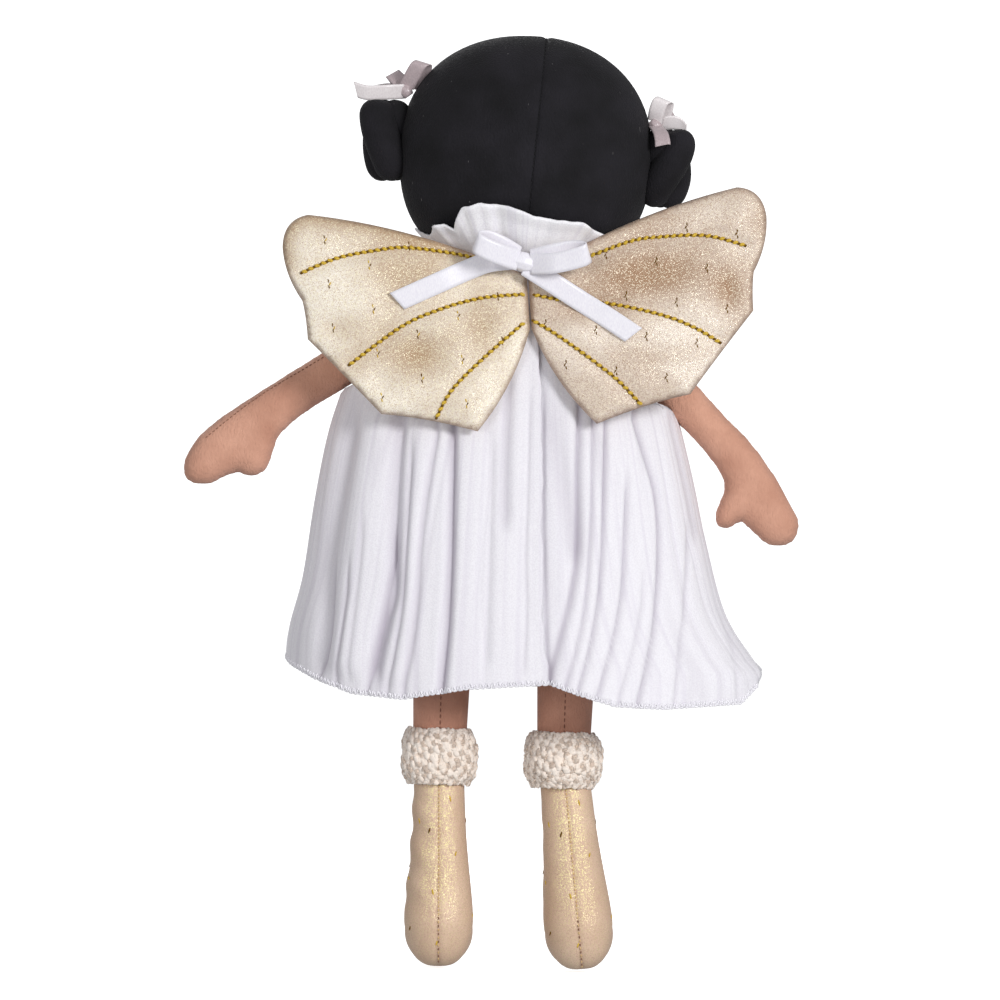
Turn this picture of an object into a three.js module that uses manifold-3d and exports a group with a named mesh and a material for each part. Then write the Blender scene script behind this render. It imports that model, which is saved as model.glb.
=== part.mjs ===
// Stuffed cloth doll with padded wings, a gathered gauze dress, fleece-cuffed boots and ribbon bows.
// Millimetres, +Z up. The doll stands upright and faces -Y, so its left side is +X.
import * as THREE from 'three';
import { mergeVertices } from 'three/addons/utils/BufferGeometryUtils.js';
import Module from 'manifold-3d';

const wasm = await Module();
wasm.setup();

// Clearances between pieces that touch
const SEAM_GAP = 0.3;
const LAYER_GAP = 0.4;

// Head and hair
const HEAD_TOP = 350;
const HEAD_HEIGHT = 87;
const HEAD_WIDTH = 94;
const HEAD_DEPTH = 72;
const HEAD_JOWL = 2.6;
const HAIR_THICKNESS = 2;
const HAIRLINE_HEIGHT = 320;
const HAIRLINE_WIDTH = 78;
const HAIRLINE_DEPTH = 10;
const NAPE_HEIGHT = 271;
const BUN_LENGTH = 32;
const BUN_WIDTH = 24;
const BUN_OUT = 52;
const BUN_HEIGHTS = { left: 309, right: 302 };
const BUN_STRANDS = 3;
const BUN_GROOVE = 1.6;
const BUN_TURNS = 0.75;

// Torso, neck and the flaps that carry the limbs
const HIP_HEIGHT = 152;
const SHOULDER_HEIGHT = 246;
const TORSO_TOP = 256.5;
const TORSO_HALF_WIDTH = 31;
const TORSO_HALF_DEPTH = 20;
const SHOULDER_HALF_WIDTH = 28;
const NECK_RADIUS = 12;
const FLAP_THICKNESS = 3;
const SHOULDER_FLAP_LENGTH = 9;
const SHOULDER_FLAP_HEIGHT = 12;
const HIP_FLAP_LENGTH = 7;
const HIP_FLAP_WIDTH = 64;
const HIP_SHIFT = 1.8;

// Arms
const ARM_STRAIGHT = 74;
const HAND_LENGTH = 36;
const ARM_HALF_WIDTH = 8;
const ARM_HALF_DEPTH = 7;
const HAND_HALF_WIDTH = 10.5;
const THUMB_LENGTH = 11;
const THUMB_RADIUS = 5;
const THUMB_SPREAD = 38;
const ARM_DROP = { left: 32.5, right: 45 };
const HAND_DROP = { left: 48, right: 57 };

// Legs, boots and cuffs
const LEG_SPACING = 46;
const LEG_RADIUS = 10;
const ANKLE_HEIGHT = 79;
const BOOT_TOP_RADIUS = 9.6;
const HEEL_RADIUS = 12.9;
const HEEL_HEIGHT = 21;
const FOOT_LENGTH = 44;
const FOOT_HEIGHT = 27;
const SOLE_CUT = 0.8;
const BOOT_SPLAY = { left: -1.6, right: 6 };
const CUFF_HEIGHT = 20;
const CUFF_RADIUS = 14.5;

// Dress
const NECKLINE_HEIGHT = 258;
const HEM_HEIGHT = 101;
const HEM_SIDE_RISE = 9;
const HEM_BACK_RISE = 5;
const CLOTH_THICKNESS = 1.4;
const HEM_HALF_WIDTH = 87;
const HEM_HALF_DEPTH = 52;
const CHEST_HALF_WIDTH = 64;
const CHEST_HALF_DEPTH = 28.5;
const CHEST_HEIGHT = 205;
const YOKE_HALF_WIDTH = 36;
const YOKE_HALF_DEPTH = 25;
const YOKE_HEIGHT = 247;
const DRESS_FOLDS = 26;
const FOLD_DEPTH = 3;
const ARMHOLE_BOTTOM = 200;
const ARMHOLE_CURVE = 14;
const ARMHOLE_OPENING = 42;
const BACK_OPENING_ANGLE = -8;
const GATHER_DEPTH = 1;
const BAND_HEIGHT = 4;
const RUFFLE_TOP = 280;
const RUFFLE_WAVES = 15;
const RUFFLE_WAVE_DEPTH = 2.5;
const RUFFLE_GAP = 1.2;

// Wings
const WING_SPAN = 90.4;
const WING_UPPER_RISE = 28;
const WING_LOWER_DROP = 57;
const WING_LIFT = 2;
const WING_HINGE_X = -2;
const WING_STAND_OFF = 28;
const WING_LEAN = 0.1;
const WING_TILT = { left: -5.5, right: 5.5 };
const WING_EDGE_THICKNESS = 2.6;
const WING_CROWN = 2.4;
const COVER_THICKNESS = 0.8;
const WADDING_INSET = 0.06;

// Ribbons
const NAPE_RIBBON_WIDTH = 8;
const NAPE_KNOT_LIFT = 7.5;
const NAPE_KNOT_BACK = 31.5;
const NAPE_LOOP_SLOPE = 10;
const NAPE_LOOPS = { left: { angle: 28, length: 20 }, right: { angle: 4, length: 22 } };
const NAPE_TAILS = { left: { angle: -18, length: 44 }, right: { angle: -32, length: 44 } };
const HAIR_RIBBON_WIDTH = 6;
const HAIR_KNOT_OUT = 48;
const HAIR_KNOT_SEAT = 1;
const HAIR_LOOPS = { left: [104, 68], right: [94, 64] };
const HAIR_TAILS = { left: [8, 0], right: [5, -2] };
const HAIR_LOOP_LENGTH = 13;
const HAIR_TAIL_LENGTH = 17;
const HAIR_BOW_SPREAD = 22;
const RIBBON_THICKNESS = 0.9;
const LOOP_FULLNESS = 5;

const SIDES = { left: 1, right: -1 };
const radians = THREE.MathUtils.degToRad;
const smoothstep = THREE.MathUtils.smoothstep;

// Closed body from points and triangles, turned so that its faces point out
function closedBody(points, triangles) {
  let volume = 0;
  for (let i = 0; i < triangles.length; i += 3) {
    const [a, b, c] = [points[triangles[i]], points[triangles[i + 1]], points[triangles[i + 2]]];
    volume += a.dot(new THREE.Vector3().crossVectors(b, c));
  }
  const outward = volume > 0 ? triangles : triangles.toReversed();
  const geometry = new THREE.BufferGeometry();
  geometry.setAttribute('position', new THREE.Float32BufferAttribute(points.flatMap((p) => p.toArray()), 3));
  geometry.setIndex(outward);
  return geometry;
}

// Skin over a row of rings, closed by a fan at each end
function loft(rings) {
  const count = rings[0].length;
  const points = rings.flat();
  const triangles = [];
  for (let r = 0; r + 1 < rings.length; r += 1) {
    for (let k = 0; k < count; k += 1) {
      const here = r * count + k;
      const beside = r * count + ((k + 1) % count);
      triangles.push(here, beside, beside + count, here, beside + count, here + count);
    }
  }
  for (const r of [0, rings.length - 1]) {
    const centre = points.length;
    points.push(rings[r].reduce((sum, p) => sum.add(p), new THREE.Vector3()).divideScalar(count));
    for (let k = 0; k < count; k += 1) {
      const fan = [centre, r * count + ((k + 1) % count), r * count + k];
      triangles.push(...(r === 0 ? fan : fan.toReversed()));
    }
  }
  return closedBody(points, triangles);
}

// Sheet with two faces given as grids of points; a wrapped sheet closes into a ring
function shell(outer, inner, wrapped) {
  const rows = outer.length;
  const columns = outer[0].length;
  const points = [...outer.flat(), ...inner.flat()];
  const back = rows * columns;
  const triangles = [];
  const quad = (a, b, c, d) => triangles.push(a, b, c, a, c, d);
  const steps = wrapped ? columns : columns - 1;
  for (let r = 0; r + 1 < rows; r += 1) {
    for (let k = 0; k < steps; k += 1) {
      const a = r * columns + k;
      const b = r * columns + ((k + 1) % columns);
      quad(a, b, b + columns, a + columns);
      quad(back + a, back + a + columns, back + b + columns, back + b);
    }
  }
  for (let k = 0; k < steps; k += 1) {
    const next = (k + 1) % columns;
    const last = (rows - 1) * columns;
    quad(k, back + k, back + next, next);
    quad(last + k, last + next, back + last + next, back + last + k);
  }
  for (let r = 0; r + 1 < rows && !wrapped; r += 1) {
    const a = r * columns;
    const b = a + columns - 1;
    quad(a, a + columns, back + a + columns, back + a);
    quad(b, back + b, back + b + columns, b + columns);
  }
  return closedBody(points, triangles);
}

function toSolid(geometry) {
  const plain = geometry.clone();
  plain.deleteAttribute('normal');
  plain.deleteAttribute('uv');
  const merged = mergeVertices(plain, 1e-4);
  return new wasm.Manifold(new wasm.Mesh({
    numProp: 3,
    vertProperties: new Float32Array(merged.attributes.position.array),
    triVerts: new Uint32Array(merged.index.array),
  }));
}

function toGeometry(solid) {
  const mesh = solid.getMesh();
  const geometry = new THREE.BufferGeometry();
  geometry.setAttribute('position', new THREE.Float32BufferAttribute(mesh.vertProperties, 3));
  geometry.setIndex([...mesh.triVerts]);
  return geometry;
}

function cut(geometry, ...cutters) {
  return toGeometry(cutters.reduce((solid, cutter) => solid.subtract(toSolid(cutter)), toSolid(geometry)));
}

function join(first, second) {
  return toGeometry(toSolid(first).add(toSolid(second)));
}

function block(low, high) {
  const size = new THREE.Vector3().subVectors(high, low);
  const centre = new THREE.Vector3().addVectors(low, high).divideScalar(2);
  return new THREE.BoxGeometry(size.x, size.y, size.z).translate(centre.x, centre.y, centre.z);
}

// Level ellipse of points at one height
function levelRing(x, y, z, halfWidth, halfDepth, count) {
  return Array.from({ length: count }, (_, k) => {
    const turn = (k / count) * Math.PI * 2;
    return new THREE.Vector3(x + halfWidth * Math.cos(turn), y + halfDepth * Math.sin(turn), z);
  });
}

// Stuffed form through [height, half width, half depth] sections, rounded between them
function stuffedColumn(x, y, sections, steps, count) {
  const places = sections.map((s) => new THREE.Vector3(...s));
  const profile = new THREE.CatmullRomCurve3(places, false, 'centripetal');
  const rings = profile.getPoints(steps).map((s) => levelRing(x, y, s.x, s.y, s.z, count));
  return loft(rings);
}

// Stuffed limb along a spine in the XZ plane, through [share of length, half width, half depth]
function stuffedLimb(spine, sections, steps, count) {
  const places = sections.map((s) => new THREE.Vector3(...s));
  const profile = new THREE.CatmullRomCurve3(places, false, 'centripetal');
  const rings = profile.getPoints(steps).map((section) => {
    const share = THREE.MathUtils.clamp(section.x, 0, 1);
    const centre = spine.getPointAt(share);
    const along = spine.getTangentAt(share);
    const across = new THREE.Vector3(-along.z, 0, along.x);
    return Array.from({ length: count }, (_, k) => {
      const turn = (k / count) * Math.PI * 2;
      return centre.clone().addScaledVector(across, section.y * Math.cos(turn))
        .add(new THREE.Vector3(0, section.z * Math.sin(turn), 0));
    });
  });
  return loft(rings);
}

// Head form: round above its middle, fuller below it
const headMiddle = HEAD_TOP - HEAD_HEIGHT / 2;
function headShare(height, grow) {
  const level = Math.abs(height - headMiddle) / (HEAD_HEIGHT / 2 + grow);
  const power = height > headMiddle ? 2 : HEAD_JOWL;
  return Math.pow(Math.max(0, 1 - Math.pow(level, power)), 1 / power);
}

function headForm(grow) {
  const rows = 15;
  const reach = HEAD_HEIGHT / 2 + grow;
  const rings = [];
  for (let r = 1; r < rows; r += 1) {
    const height = headMiddle - reach * Math.cos((r / rows) * Math.PI);
    const share = headShare(height, grow);
    rings.push(levelRing(0, 0, height, (HEAD_WIDTH / 2 + grow) * share, (HEAD_DEPTH / 2 + grow) * share, 28));
  }
  return loft(rings);
}

// Two hair panels that meet in a seam down the middle of the back
function hairPanel(side) {
  const far = HEAD_WIDTH;
  const hairline = new THREE.CylinderGeometry(1, 1, far, 28)
    .scale(HAIRLINE_WIDTH / 2, 1, HAIRLINE_HEIGHT - headMiddle + HEAD_HEIGHT / 2)
    .translate(0, -far / 2 - HAIRLINE_DEPTH, headMiddle - HEAD_HEIGHT / 2);
  const nape = block(new THREE.Vector3(-far, -far, 0), new THREE.Vector3(far, far, NAPE_HEIGHT));
  const seam = SEAM_GAP / 2;
  const other = side > 0
    ? block(new THREE.Vector3(-far, -far, 0), new THREE.Vector3(seam, far, 2 * HEAD_TOP))
    : block(new THREE.Vector3(-seam, -far, 0), new THREE.Vector3(far, far, 2 * HEAD_TOP));
  return cut(headForm(0), headForm(-HAIR_THICKNESS), hairline, nape, other);
}

// Twisted bun: strands wind round each other, and the head's side is cut away
function hairBun(side, middle) {
  const rows = 14;
  const around = BUN_STRANDS * 8;
  const rings = [];
  for (let r = 1; r < rows; r += 1) {
    const share = r / rows;
    const height = middle - (BUN_LENGTH / 2) * Math.cos(share * Math.PI);
    const swell = Math.sin(share * Math.PI);
    rings.push(Array.from({ length: around }, (_, k) => {
      const turn = (k / around) * Math.PI * 2;
      const strand = Math.cos(BUN_STRANDS * (turn - share * BUN_TURNS * Math.PI * 2));
      const radius = swell * (BUN_WIDTH / 2 - BUN_GROOVE + BUN_GROOVE * strand);
      return new THREE.Vector3(side * BUN_OUT + radius * Math.cos(turn), radius * Math.sin(turn), height);
    }));
  }
  return cut(loft(rings), headForm(SEAM_GAP));
}

const torsoForm = stuffedColumn(0, 0, [
  [HIP_HEIGHT, TORSO_HALF_WIDTH - 7, TORSO_HALF_DEPTH - 13],
  [HIP_HEIGHT + 5, TORSO_HALF_WIDTH - 1, TORSO_HALF_DEPTH - 4],
  [HIP_HEIGHT + 20, TORSO_HALF_WIDTH, TORSO_HALF_DEPTH],
  [(HIP_HEIGHT + SHOULDER_HEIGHT) / 2, TORSO_HALF_WIDTH - 5, TORSO_HALF_DEPTH - 2],
  [SHOULDER_HEIGHT - 12, SHOULDER_HALF_WIDTH - 1, TORSO_HALF_DEPTH - 4],
  [SHOULDER_HEIGHT, SHOULDER_HALF_WIDTH, TORSO_HALF_DEPTH - 7],
  [SHOULDER_HEIGHT + 6, SHOULDER_HALF_WIDTH - 5, TORSO_HALF_DEPTH - 8],
  [TORSO_TOP, NECK_RADIUS, NECK_RADIUS],
], 14, 24);

function neckForm() {
  const sections = [
    [TORSO_TOP + SEAM_GAP, NECK_RADIUS, NECK_RADIUS],
    [TORSO_TOP + 5, NECK_RADIUS - 1, NECK_RADIUS - 1],
    [headMiddle - HEAD_HEIGHT / 2 + 8, NECK_RADIUS, NECK_RADIUS],
  ];
  return cut(stuffedColumn(0, 0, sections, 4, 20), headForm(-HAIR_THICKNESS));
}

// Flat flap in the XZ plane: its outer end is round, and its inner end is round about an upright line
function flap(length, height, thickness) {
  const radius = height / 2;
  const fold = thickness / 2;
  const outline = new THREE.Shape();
  outline.moveTo(fold, -radius);
  outline.lineTo(length - radius, -radius);
  outline.absarc(length - radius, 0, radius, -Math.PI / 2, Math.PI / 2, false);
  outline.lineTo(fold, radius);
  outline.closePath();
  const web = new THREE.ExtrudeGeometry(outline, { depth: thickness, bevelEnabled: false, curveSegments: 8 })
    .rotateX(Math.PI / 2)
    .translate(0, fold, 0);
  const roll = new THREE.CylinderGeometry(fold, fold, height, 16).rotateX(Math.PI / 2).translate(fold, 0, 0);
  return join(web, roll);
}

const shoulderSeam = SHOULDER_HALF_WIDTH + SEAM_GAP;
const shoulderPivot = shoulderSeam + SHOULDER_FLAP_LENGTH - SHOULDER_FLAP_HEIGHT / 2;

function shoulderFlap(side) {
  const shape = flap(SHOULDER_FLAP_LENGTH, SHOULDER_FLAP_HEIGHT, FLAP_THICKNESS);
  if (side < 0) shape.rotateZ(Math.PI);
  return shape.translate(side * shoulderSeam, 0, SHOULDER_HEIGHT);
}

// Arm: straight from the shoulder, the mitten hand dropping more steeply, with a thumb below
function armForm(side, armDrop, handDrop) {
  const pivot = new THREE.Vector3(side * shoulderPivot, 0, SHOULDER_HEIGHT);
  const heading = (drop) => new THREE.Vector3(side * Math.cos(radians(drop)), 0, -Math.sin(radians(drop)));
  const start = SHOULDER_FLAP_HEIGHT / 2 + SEAM_GAP;
  const wrist = pivot.clone().addScaledVector(heading(armDrop), ARM_STRAIGHT);
  const spine = new THREE.CatmullRomCurve3([
    pivot.clone().addScaledVector(heading(armDrop), start),
    pivot.clone().addScaledVector(heading(armDrop), (start + ARM_STRAIGHT) / 2),
    wrist,
    wrist.clone().addScaledVector(heading(handDrop), HAND_LENGTH / 2),
    wrist.clone().addScaledVector(heading(handDrop), HAND_LENGTH),
  ]);
  const wristShare = (ARM_STRAIGHT - start) / (ARM_STRAIGHT - start + HAND_LENGTH);
  const palmShare = (1 + wristShare) / 2;
  const arm = stuffedLimb(spine, [
    [0, ARM_HALF_WIDTH - 3, FLAP_THICKNESS / 2],
    [wristShare * 0.2, ARM_HALF_WIDTH - 0.5, ARM_HALF_DEPTH - 1.5],
    [wristShare * 0.6, ARM_HALF_WIDTH, ARM_HALF_DEPTH],
    [wristShare * 0.92, ARM_HALF_WIDTH, ARM_HALF_DEPTH],
    [palmShare, HAND_HALF_WIDTH, ARM_HALF_DEPTH],
    [(1 + palmShare) / 2, HAND_HALF_WIDTH - 1, ARM_HALF_DEPTH - 1],
    [1, HAND_HALF_WIDTH - 6, ARM_HALF_DEPTH - 4],
  ], 14, 16);
  const thumbRoot = wrist.clone().add(new THREE.Vector3(0, 0, -2));
  const thumbWay = heading(handDrop + THUMB_SPREAD);
  const thumbTip = thumbRoot.clone().addScaledVector(thumbWay, THUMB_LENGTH + THUMB_RADIUS);
  const thumbSpine = new THREE.LineCurve3(thumbRoot, thumbTip);
  const thumb = stuffedLimb(thumbSpine, [
    [0, THUMB_RADIUS, THUMB_RADIUS - 1],
    [0.7, THUMB_RADIUS, THUMB_RADIUS - 1],
    [1, THUMB_RADIUS - 3, THUMB_RADIUS - 3],
  ], 4, 10);
  return join(arm, thumb);
}

const legTop = HIP_HEIGHT - SEAM_GAP - HIP_FLAP_LENGTH - SEAM_GAP;
function hipFlap() {
  const fold = FLAP_THICKNESS / 2;
  const high = HIP_HEIGHT - SEAM_GAP - fold;
  const low = HIP_HEIGHT - SEAM_GAP - HIP_FLAP_LENGTH + fold;
  const outline = new THREE.Shape();
  outline.absarc(0, high, fold, 0, Math.PI, false);
  outline.absarc(0, low, fold, Math.PI, Math.PI * 2, false);
  outline.closePath();
  const sweep = { depth: HIP_FLAP_WIDTH, bevelEnabled: false, curveSegments: 8 };
  return new THREE.ExtrudeGeometry(outline, sweep)
    .rotateX(Math.PI / 2)
    .rotateZ(Math.PI / 2)
    .translate(HIP_SHIFT - HIP_FLAP_WIDTH / 2, 0, 0);
}

function legForm(x) {
  return stuffedColumn(x, 0, [
    [legTop, LEG_RADIUS - 1, FLAP_THICKNESS / 2],
    [legTop - 6, LEG_RADIUS + 1, LEG_RADIUS / 2],
    [legTop - 20, LEG_RADIUS + 1, LEG_RADIUS],
    [ANKLE_HEIGHT + CUFF_HEIGHT / 2, LEG_RADIUS, LEG_RADIUS],
    [ANKLE_HEIGHT + SEAM_GAP, BOOT_TOP_RADIUS, BOOT_TOP_RADIUS],
  ], 10, 18);
}

// Boot: a shaft that widens to the heel and a foot in front, flattened where it stands
function bootForm(x, splay) {
  const calfRadius = (BOOT_TOP_RADIUS + HEEL_RADIUS) / 2;
  const shaft = stuffedColumn(0, 0, [
    [ANKLE_HEIGHT + CUFF_HEIGHT / 4, BOOT_TOP_RADIUS, BOOT_TOP_RADIUS],
    [ANKLE_HEIGHT - CUFF_HEIGHT / 2, BOOT_TOP_RADIUS, BOOT_TOP_RADIUS],
    [(ANKLE_HEIGHT + HEEL_HEIGHT) / 2 - 5, calfRadius, calfRadius],
    [HEEL_HEIGHT, HEEL_RADIUS, HEEL_RADIUS],
    [HEEL_HEIGHT / 3, HEEL_RADIUS - 1.5, HEEL_RADIUS - 2],
    [-SOLE_CUT, HEEL_RADIUS - 6, HEEL_RADIUS - 7],
  ], 9, 18);
  const foot = new THREE.SphereGeometry(1, 18, 10)
    .scale(HEEL_RADIUS, FOOT_LENGTH / 2, FOOT_HEIGHT / 2)
    .translate(0, HEEL_RADIUS - 2 - FOOT_LENGTH / 2, FOOT_HEIGHT / 2 - SOLE_CUT);
  const far = ANKLE_HEIGHT;
  const ground = block(new THREE.Vector3(-far, -far, -far), new THREE.Vector3(far, far, 0));
  const ankle = block(new THREE.Vector3(-far, -far, ANKLE_HEIGHT), new THREE.Vector3(far, far, 2 * far));
  const boot = join(shaft, foot)
    .translate(0, 0, -ANKLE_HEIGHT)
    .rotateY(radians(splay))
    .translate(0, 0, ANKLE_HEIGHT);
  return cut(boot, ground, ankle).translate(x, 0, 0);
}

// Fleece cuff: a soft ring, its bore clear of the leg and the boot
function cuffForm(x) {
  const bore = Math.max(LEG_RADIUS, BOOT_TOP_RADIUS) + LAYER_GAP;
  const profile = [];
  const corner = (CUFF_RADIUS - bore) / 2;
  for (let k = 0; k < 10; k += 1) {
    const turn = (k / 10) * Math.PI * 2;
    const rise = Math.sign(Math.sin(turn)) * Math.pow(Math.abs(Math.sin(turn)), 0.6);
    profile.push(new THREE.Vector2(bore + corner + corner * Math.cos(turn), (CUFF_HEIGHT / 2) * rise));
  }
  profile.push(profile[0].clone());
  return new THREE.LatheGeometry(profile, 20).rotateX(Math.PI / 2).translate(x, 0, ANKLE_HEIGHT);
}

// Dress: half width and half depth at a height, and the hem's height at an angle from the back
const necklineRadius = NECK_RADIUS + LAYER_GAP + CLOTH_THICKNESS + GATHER_DEPTH;
const dressProfile = new THREE.CatmullRomCurve3([
  new THREE.Vector3(HEM_HEIGHT - 1, HEM_HALF_WIDTH, HEM_HALF_DEPTH),
  new THREE.Vector3(CHEST_HEIGHT, CHEST_HALF_WIDTH, CHEST_HALF_DEPTH),
  new THREE.Vector3(YOKE_HEIGHT, YOKE_HALF_WIDTH, YOKE_HALF_DEPTH),
  new THREE.Vector3(NECKLINE_HEIGHT, necklineRadius, necklineRadius),
], false, 'centripetal');
const dressSections = dressProfile.getPoints(60);

function dressSection(height) {
  const above = Math.max(1, dressSections.findIndex((s) => s.x >= height));
  const [low, high] = [dressSections[above - 1], dressSections[above]];
  return low.clone().lerp(high, THREE.MathUtils.clamp((height - low.x) / (high.x - low.x), 0, 1));
}

function hemHeight(angle) {
  const sideward = Math.pow(Math.sin(angle), 6);
  const backward = Math.pow(Math.max(0, Math.cos(angle)), 8);
  return HEM_HEIGHT + HEM_SIDE_RISE * sideward + HEM_BACK_RISE * backward;
}

function dressPoint(angle, height, inset) {
  const section = dressSection(height);
  const loose = (NECKLINE_HEIGHT - height) / (NECKLINE_HEIGHT - HEM_HEIGHT);
  const fold = THREE.MathUtils.lerp(GATHER_DEPTH, FOLD_DEPTH, loose) * Math.cos(DRESS_FOLDS * angle);
  const halfWidth = section.y + fold - inset;
  const halfDepth = section.z + fold - inset;
  return new THREE.Vector3(halfWidth * Math.sin(angle), halfDepth * Math.cos(angle), height);
}

// Rows of points, each made from its row and column
function pointRows(rows, columns, make) {
  const row = (r) => Array.from({ length: columns }, (_, k) => make(r, k));
  return Array.from({ length: rows }, (_, r) => row(r));
}

// One gathered panel between two edges; an edge on the side seam draws back round the armhole
function dressPanel(from, to, columns) {
  const rows = 9;
  const gap = SEAM_GAP / HEM_HALF_DEPTH;
  const edgeAt = (edge, inward, height) => {
    const armhole = smoothstep(height, ARMHOLE_BOTTOM, ARMHOLE_BOTTOM + ARMHOLE_CURVE);
    const opening = edge.side ? radians(ARMHOLE_OPENING) * armhole : 0;
    return edge.angle + inward * (gap + opening);
  };
  const grid = (inset) => pointRows(rows + 1, columns + 1, (r, k) => {
    const fall = r / rows;
    const middle = THREE.MathUtils.lerp(from.angle, to.angle, k / columns);
    const height = THREE.MathUtils.lerp(NECKLINE_HEIGHT, hemHeight(middle), fall);
    const angle = THREE.MathUtils.lerp(edgeAt(from, 1, height), edgeAt(to, -1, height), k / columns);
    return dressPoint(angle, height, inset);
  });
  return shell(grid(0), grid(CLOTH_THICKNESS), false);
}

// Ring of cloth between two heights; its half width and half depth come from a function
function clothRing(low, high, rows, columns, reach) {
  const grid = (inset) => pointRows(rows + 1, columns, (r, k) => {
    const angle = (k / columns) * Math.PI * 2;
    const height = THREE.MathUtils.lerp(low, high, r / rows);
    const { halfWidth, halfDepth } = reach(height, angle);
    const x = (halfWidth - inset) * Math.sin(angle);
    const y = (halfDepth - inset) * Math.cos(angle);
    return new THREE.Vector3(x, y, height);
  });
  return shell(grid(0), grid(CLOTH_THICKNESS), true);
}

const bandTop = NECKLINE_HEIGHT + SEAM_GAP + BAND_HEIGHT;
function neckBand() {
  const radius = NECK_RADIUS + LAYER_GAP + CLOTH_THICKNESS;
  const round = { halfWidth: radius, halfDepth: radius };
  return clothRing(NECKLINE_HEIGHT + SEAM_GAP, bandTop, 1, 32, () => round);
}

function neckRuffle() {
  const low = bandTop + SEAM_GAP;
  return clothRing(low, RUFFLE_TOP, 4, RUFFLE_WAVES * 4, (height, angle) => {
    const rise = (height - low) / (RUFFLE_TOP - low);
    const share = headShare(height, 0);
    const loose = 1 - Math.pow(Math.max(0, Math.cos(angle)), 8);
    const wave = RUFFLE_WAVE_DEPTH * rise * loose * (1 + Math.cos(RUFFLE_WAVES * angle)) / 2;
    const gap = RUFFLE_GAP + CLOTH_THICKNESS + wave;
    return {
      halfWidth: Math.max(necklineRadius, (HEAD_WIDTH / 2) * share + gap),
      halfDepth: Math.max(necklineRadius, (HEAD_DEPTH / 2) * share + gap),
    };
  });
}

// The wings and the bow are sewn to the casing at the neckline
const wingTop = NECKLINE_HEIGHT + WING_LIFT;
const napeKnotHeight = NECKLINE_HEIGHT + NAPE_KNOT_LIFT;

// Wing outline in its own plane: u runs out from the middle of the back, v up
const wingOutline = new THREE.Shape();
wingOutline.moveTo(0, 0);
const wingCurve = (bend, end) => {
  const place = ([u, v]) => [u * WING_SPAN, v * (v > 0 ? WING_UPPER_RISE : WING_LOWER_DROP)];
  wingOutline.quadraticCurveTo(...place(bend), ...place(end));
};
wingCurve([0.44, 0.75], [0.885, 1]);
wingCurve([0.99, 0.965], [1, 0.59]);
wingCurve([1, 0.215], [0.9325, -0.07]);
wingCurve([0.92, -0.175], [0.92, -0.325]);
wingCurve([0.796, -0.544], [0.636, -0.846]);
wingCurve([0.4535, -0.886], [0.2434, -1]);
wingCurve([0.0774, -0.72], [0, -0.35]);
const wingCentre = new THREE.Vector2(WING_SPAN * 0.46, -WING_LOWER_DROP * 0.2);

// Puffed layer of a wing between two faces, given as depth against share of the way to the edge
function wingLayer(side, tilt, reach, front, back) {
  const shares = [0.45, 0.8, 1];
  const edge = wingOutline.getPoints(5);
  const turned = radians(tilt);
  const place = (point, depth) => {
    const u = point.x * Math.cos(turned) - point.y * Math.sin(turned);
    const v = point.x * Math.sin(turned) + point.y * Math.cos(turned);
    const y = WING_STAND_OFF - v * WING_LEAN + depth;
    return new THREE.Vector3(WING_HINGE_X + side * (u + SEAM_GAP), y, wingTop + v);
  };
  const ring = (share, depth) => edge.map((p) => {
    return place(wingCentre.clone().lerp(p, share * reach), depth(share));
  });
  const rings = [...shares.map((s) => ring(s, front)), ...shares.toReversed().map((s) => ring(s, back))];
  return loft(rings);
}

const wingPuff = (share) => WING_EDGE_THICKNESS / 2 + WING_CROWN * (1 - share * share);
function wingPieces(side, tilt) {
  const inner = (share) => wingPuff(share) - COVER_THICKNESS;
  const core = (share) => inner(share) - LAYER_GAP;
  return {
    back_cover: wingLayer(side, tilt, 1, inner, wingPuff),
    wadding: wingLayer(side, tilt, 1 - WADDING_INSET, (s) => -core(s), core),
    front_cover: wingLayer(side, tilt, 1, (s) => -wingPuff(s), (s) => -inner(s)),
  };
}

// Ribbon bow pieces, made along +X with the ribbon's width along Z and its face towards +Y
function ribbonLoop(length, width) {
  const outline = (inset) => {
    const path = new THREE.Path();
    const half = LOOP_FULLNESS / 2 - inset;
    path.moveTo(inset * 2, 0);
    path.bezierCurveTo(length * 0.4, half * 1.4, length - inset, half * 1.5, length - inset, 0);
    path.bezierCurveTo(length - inset, -half * 1.5, length * 0.4, -half * 1.4, inset * 2, 0);
    return path.getPoints(8).slice(0, -1);
  };
  const shape = new THREE.Shape(outline(0).toReversed());
  shape.holes.push(new THREE.Path(outline(RIBBON_THICKNESS)));
  return new THREE.ExtrudeGeometry(shape, { depth: width, bevelEnabled: false }).translate(0, 0, -width / 2);
}

function ribbonTail(length, width) {
  const outline = new THREE.Shape();
  outline.moveTo(0, -width * 0.2);
  outline.lineTo(length * 0.3, -width / 2);
  outline.lineTo(length, -width / 2);
  outline.lineTo(length - width * 0.3, width / 2);
  outline.lineTo(length * 0.3, width / 2);
  outline.lineTo(0, width * 0.2);
  outline.closePath();
  return new THREE.ExtrudeGeometry(outline, { depth: RIBBON_THICKNESS, bevelEnabled: false })
    .rotateX(Math.PI / 2)
    .translate(0, RIBBON_THICKNESS / 2, 0);
}

function ribbonKnot(width) {
  return new THREE.SphereGeometry(1, 12, 8).scale(width / 2, LOOP_FULLNESS / 2 + RIBBON_THICKNESS, width / 2);
}

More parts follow.
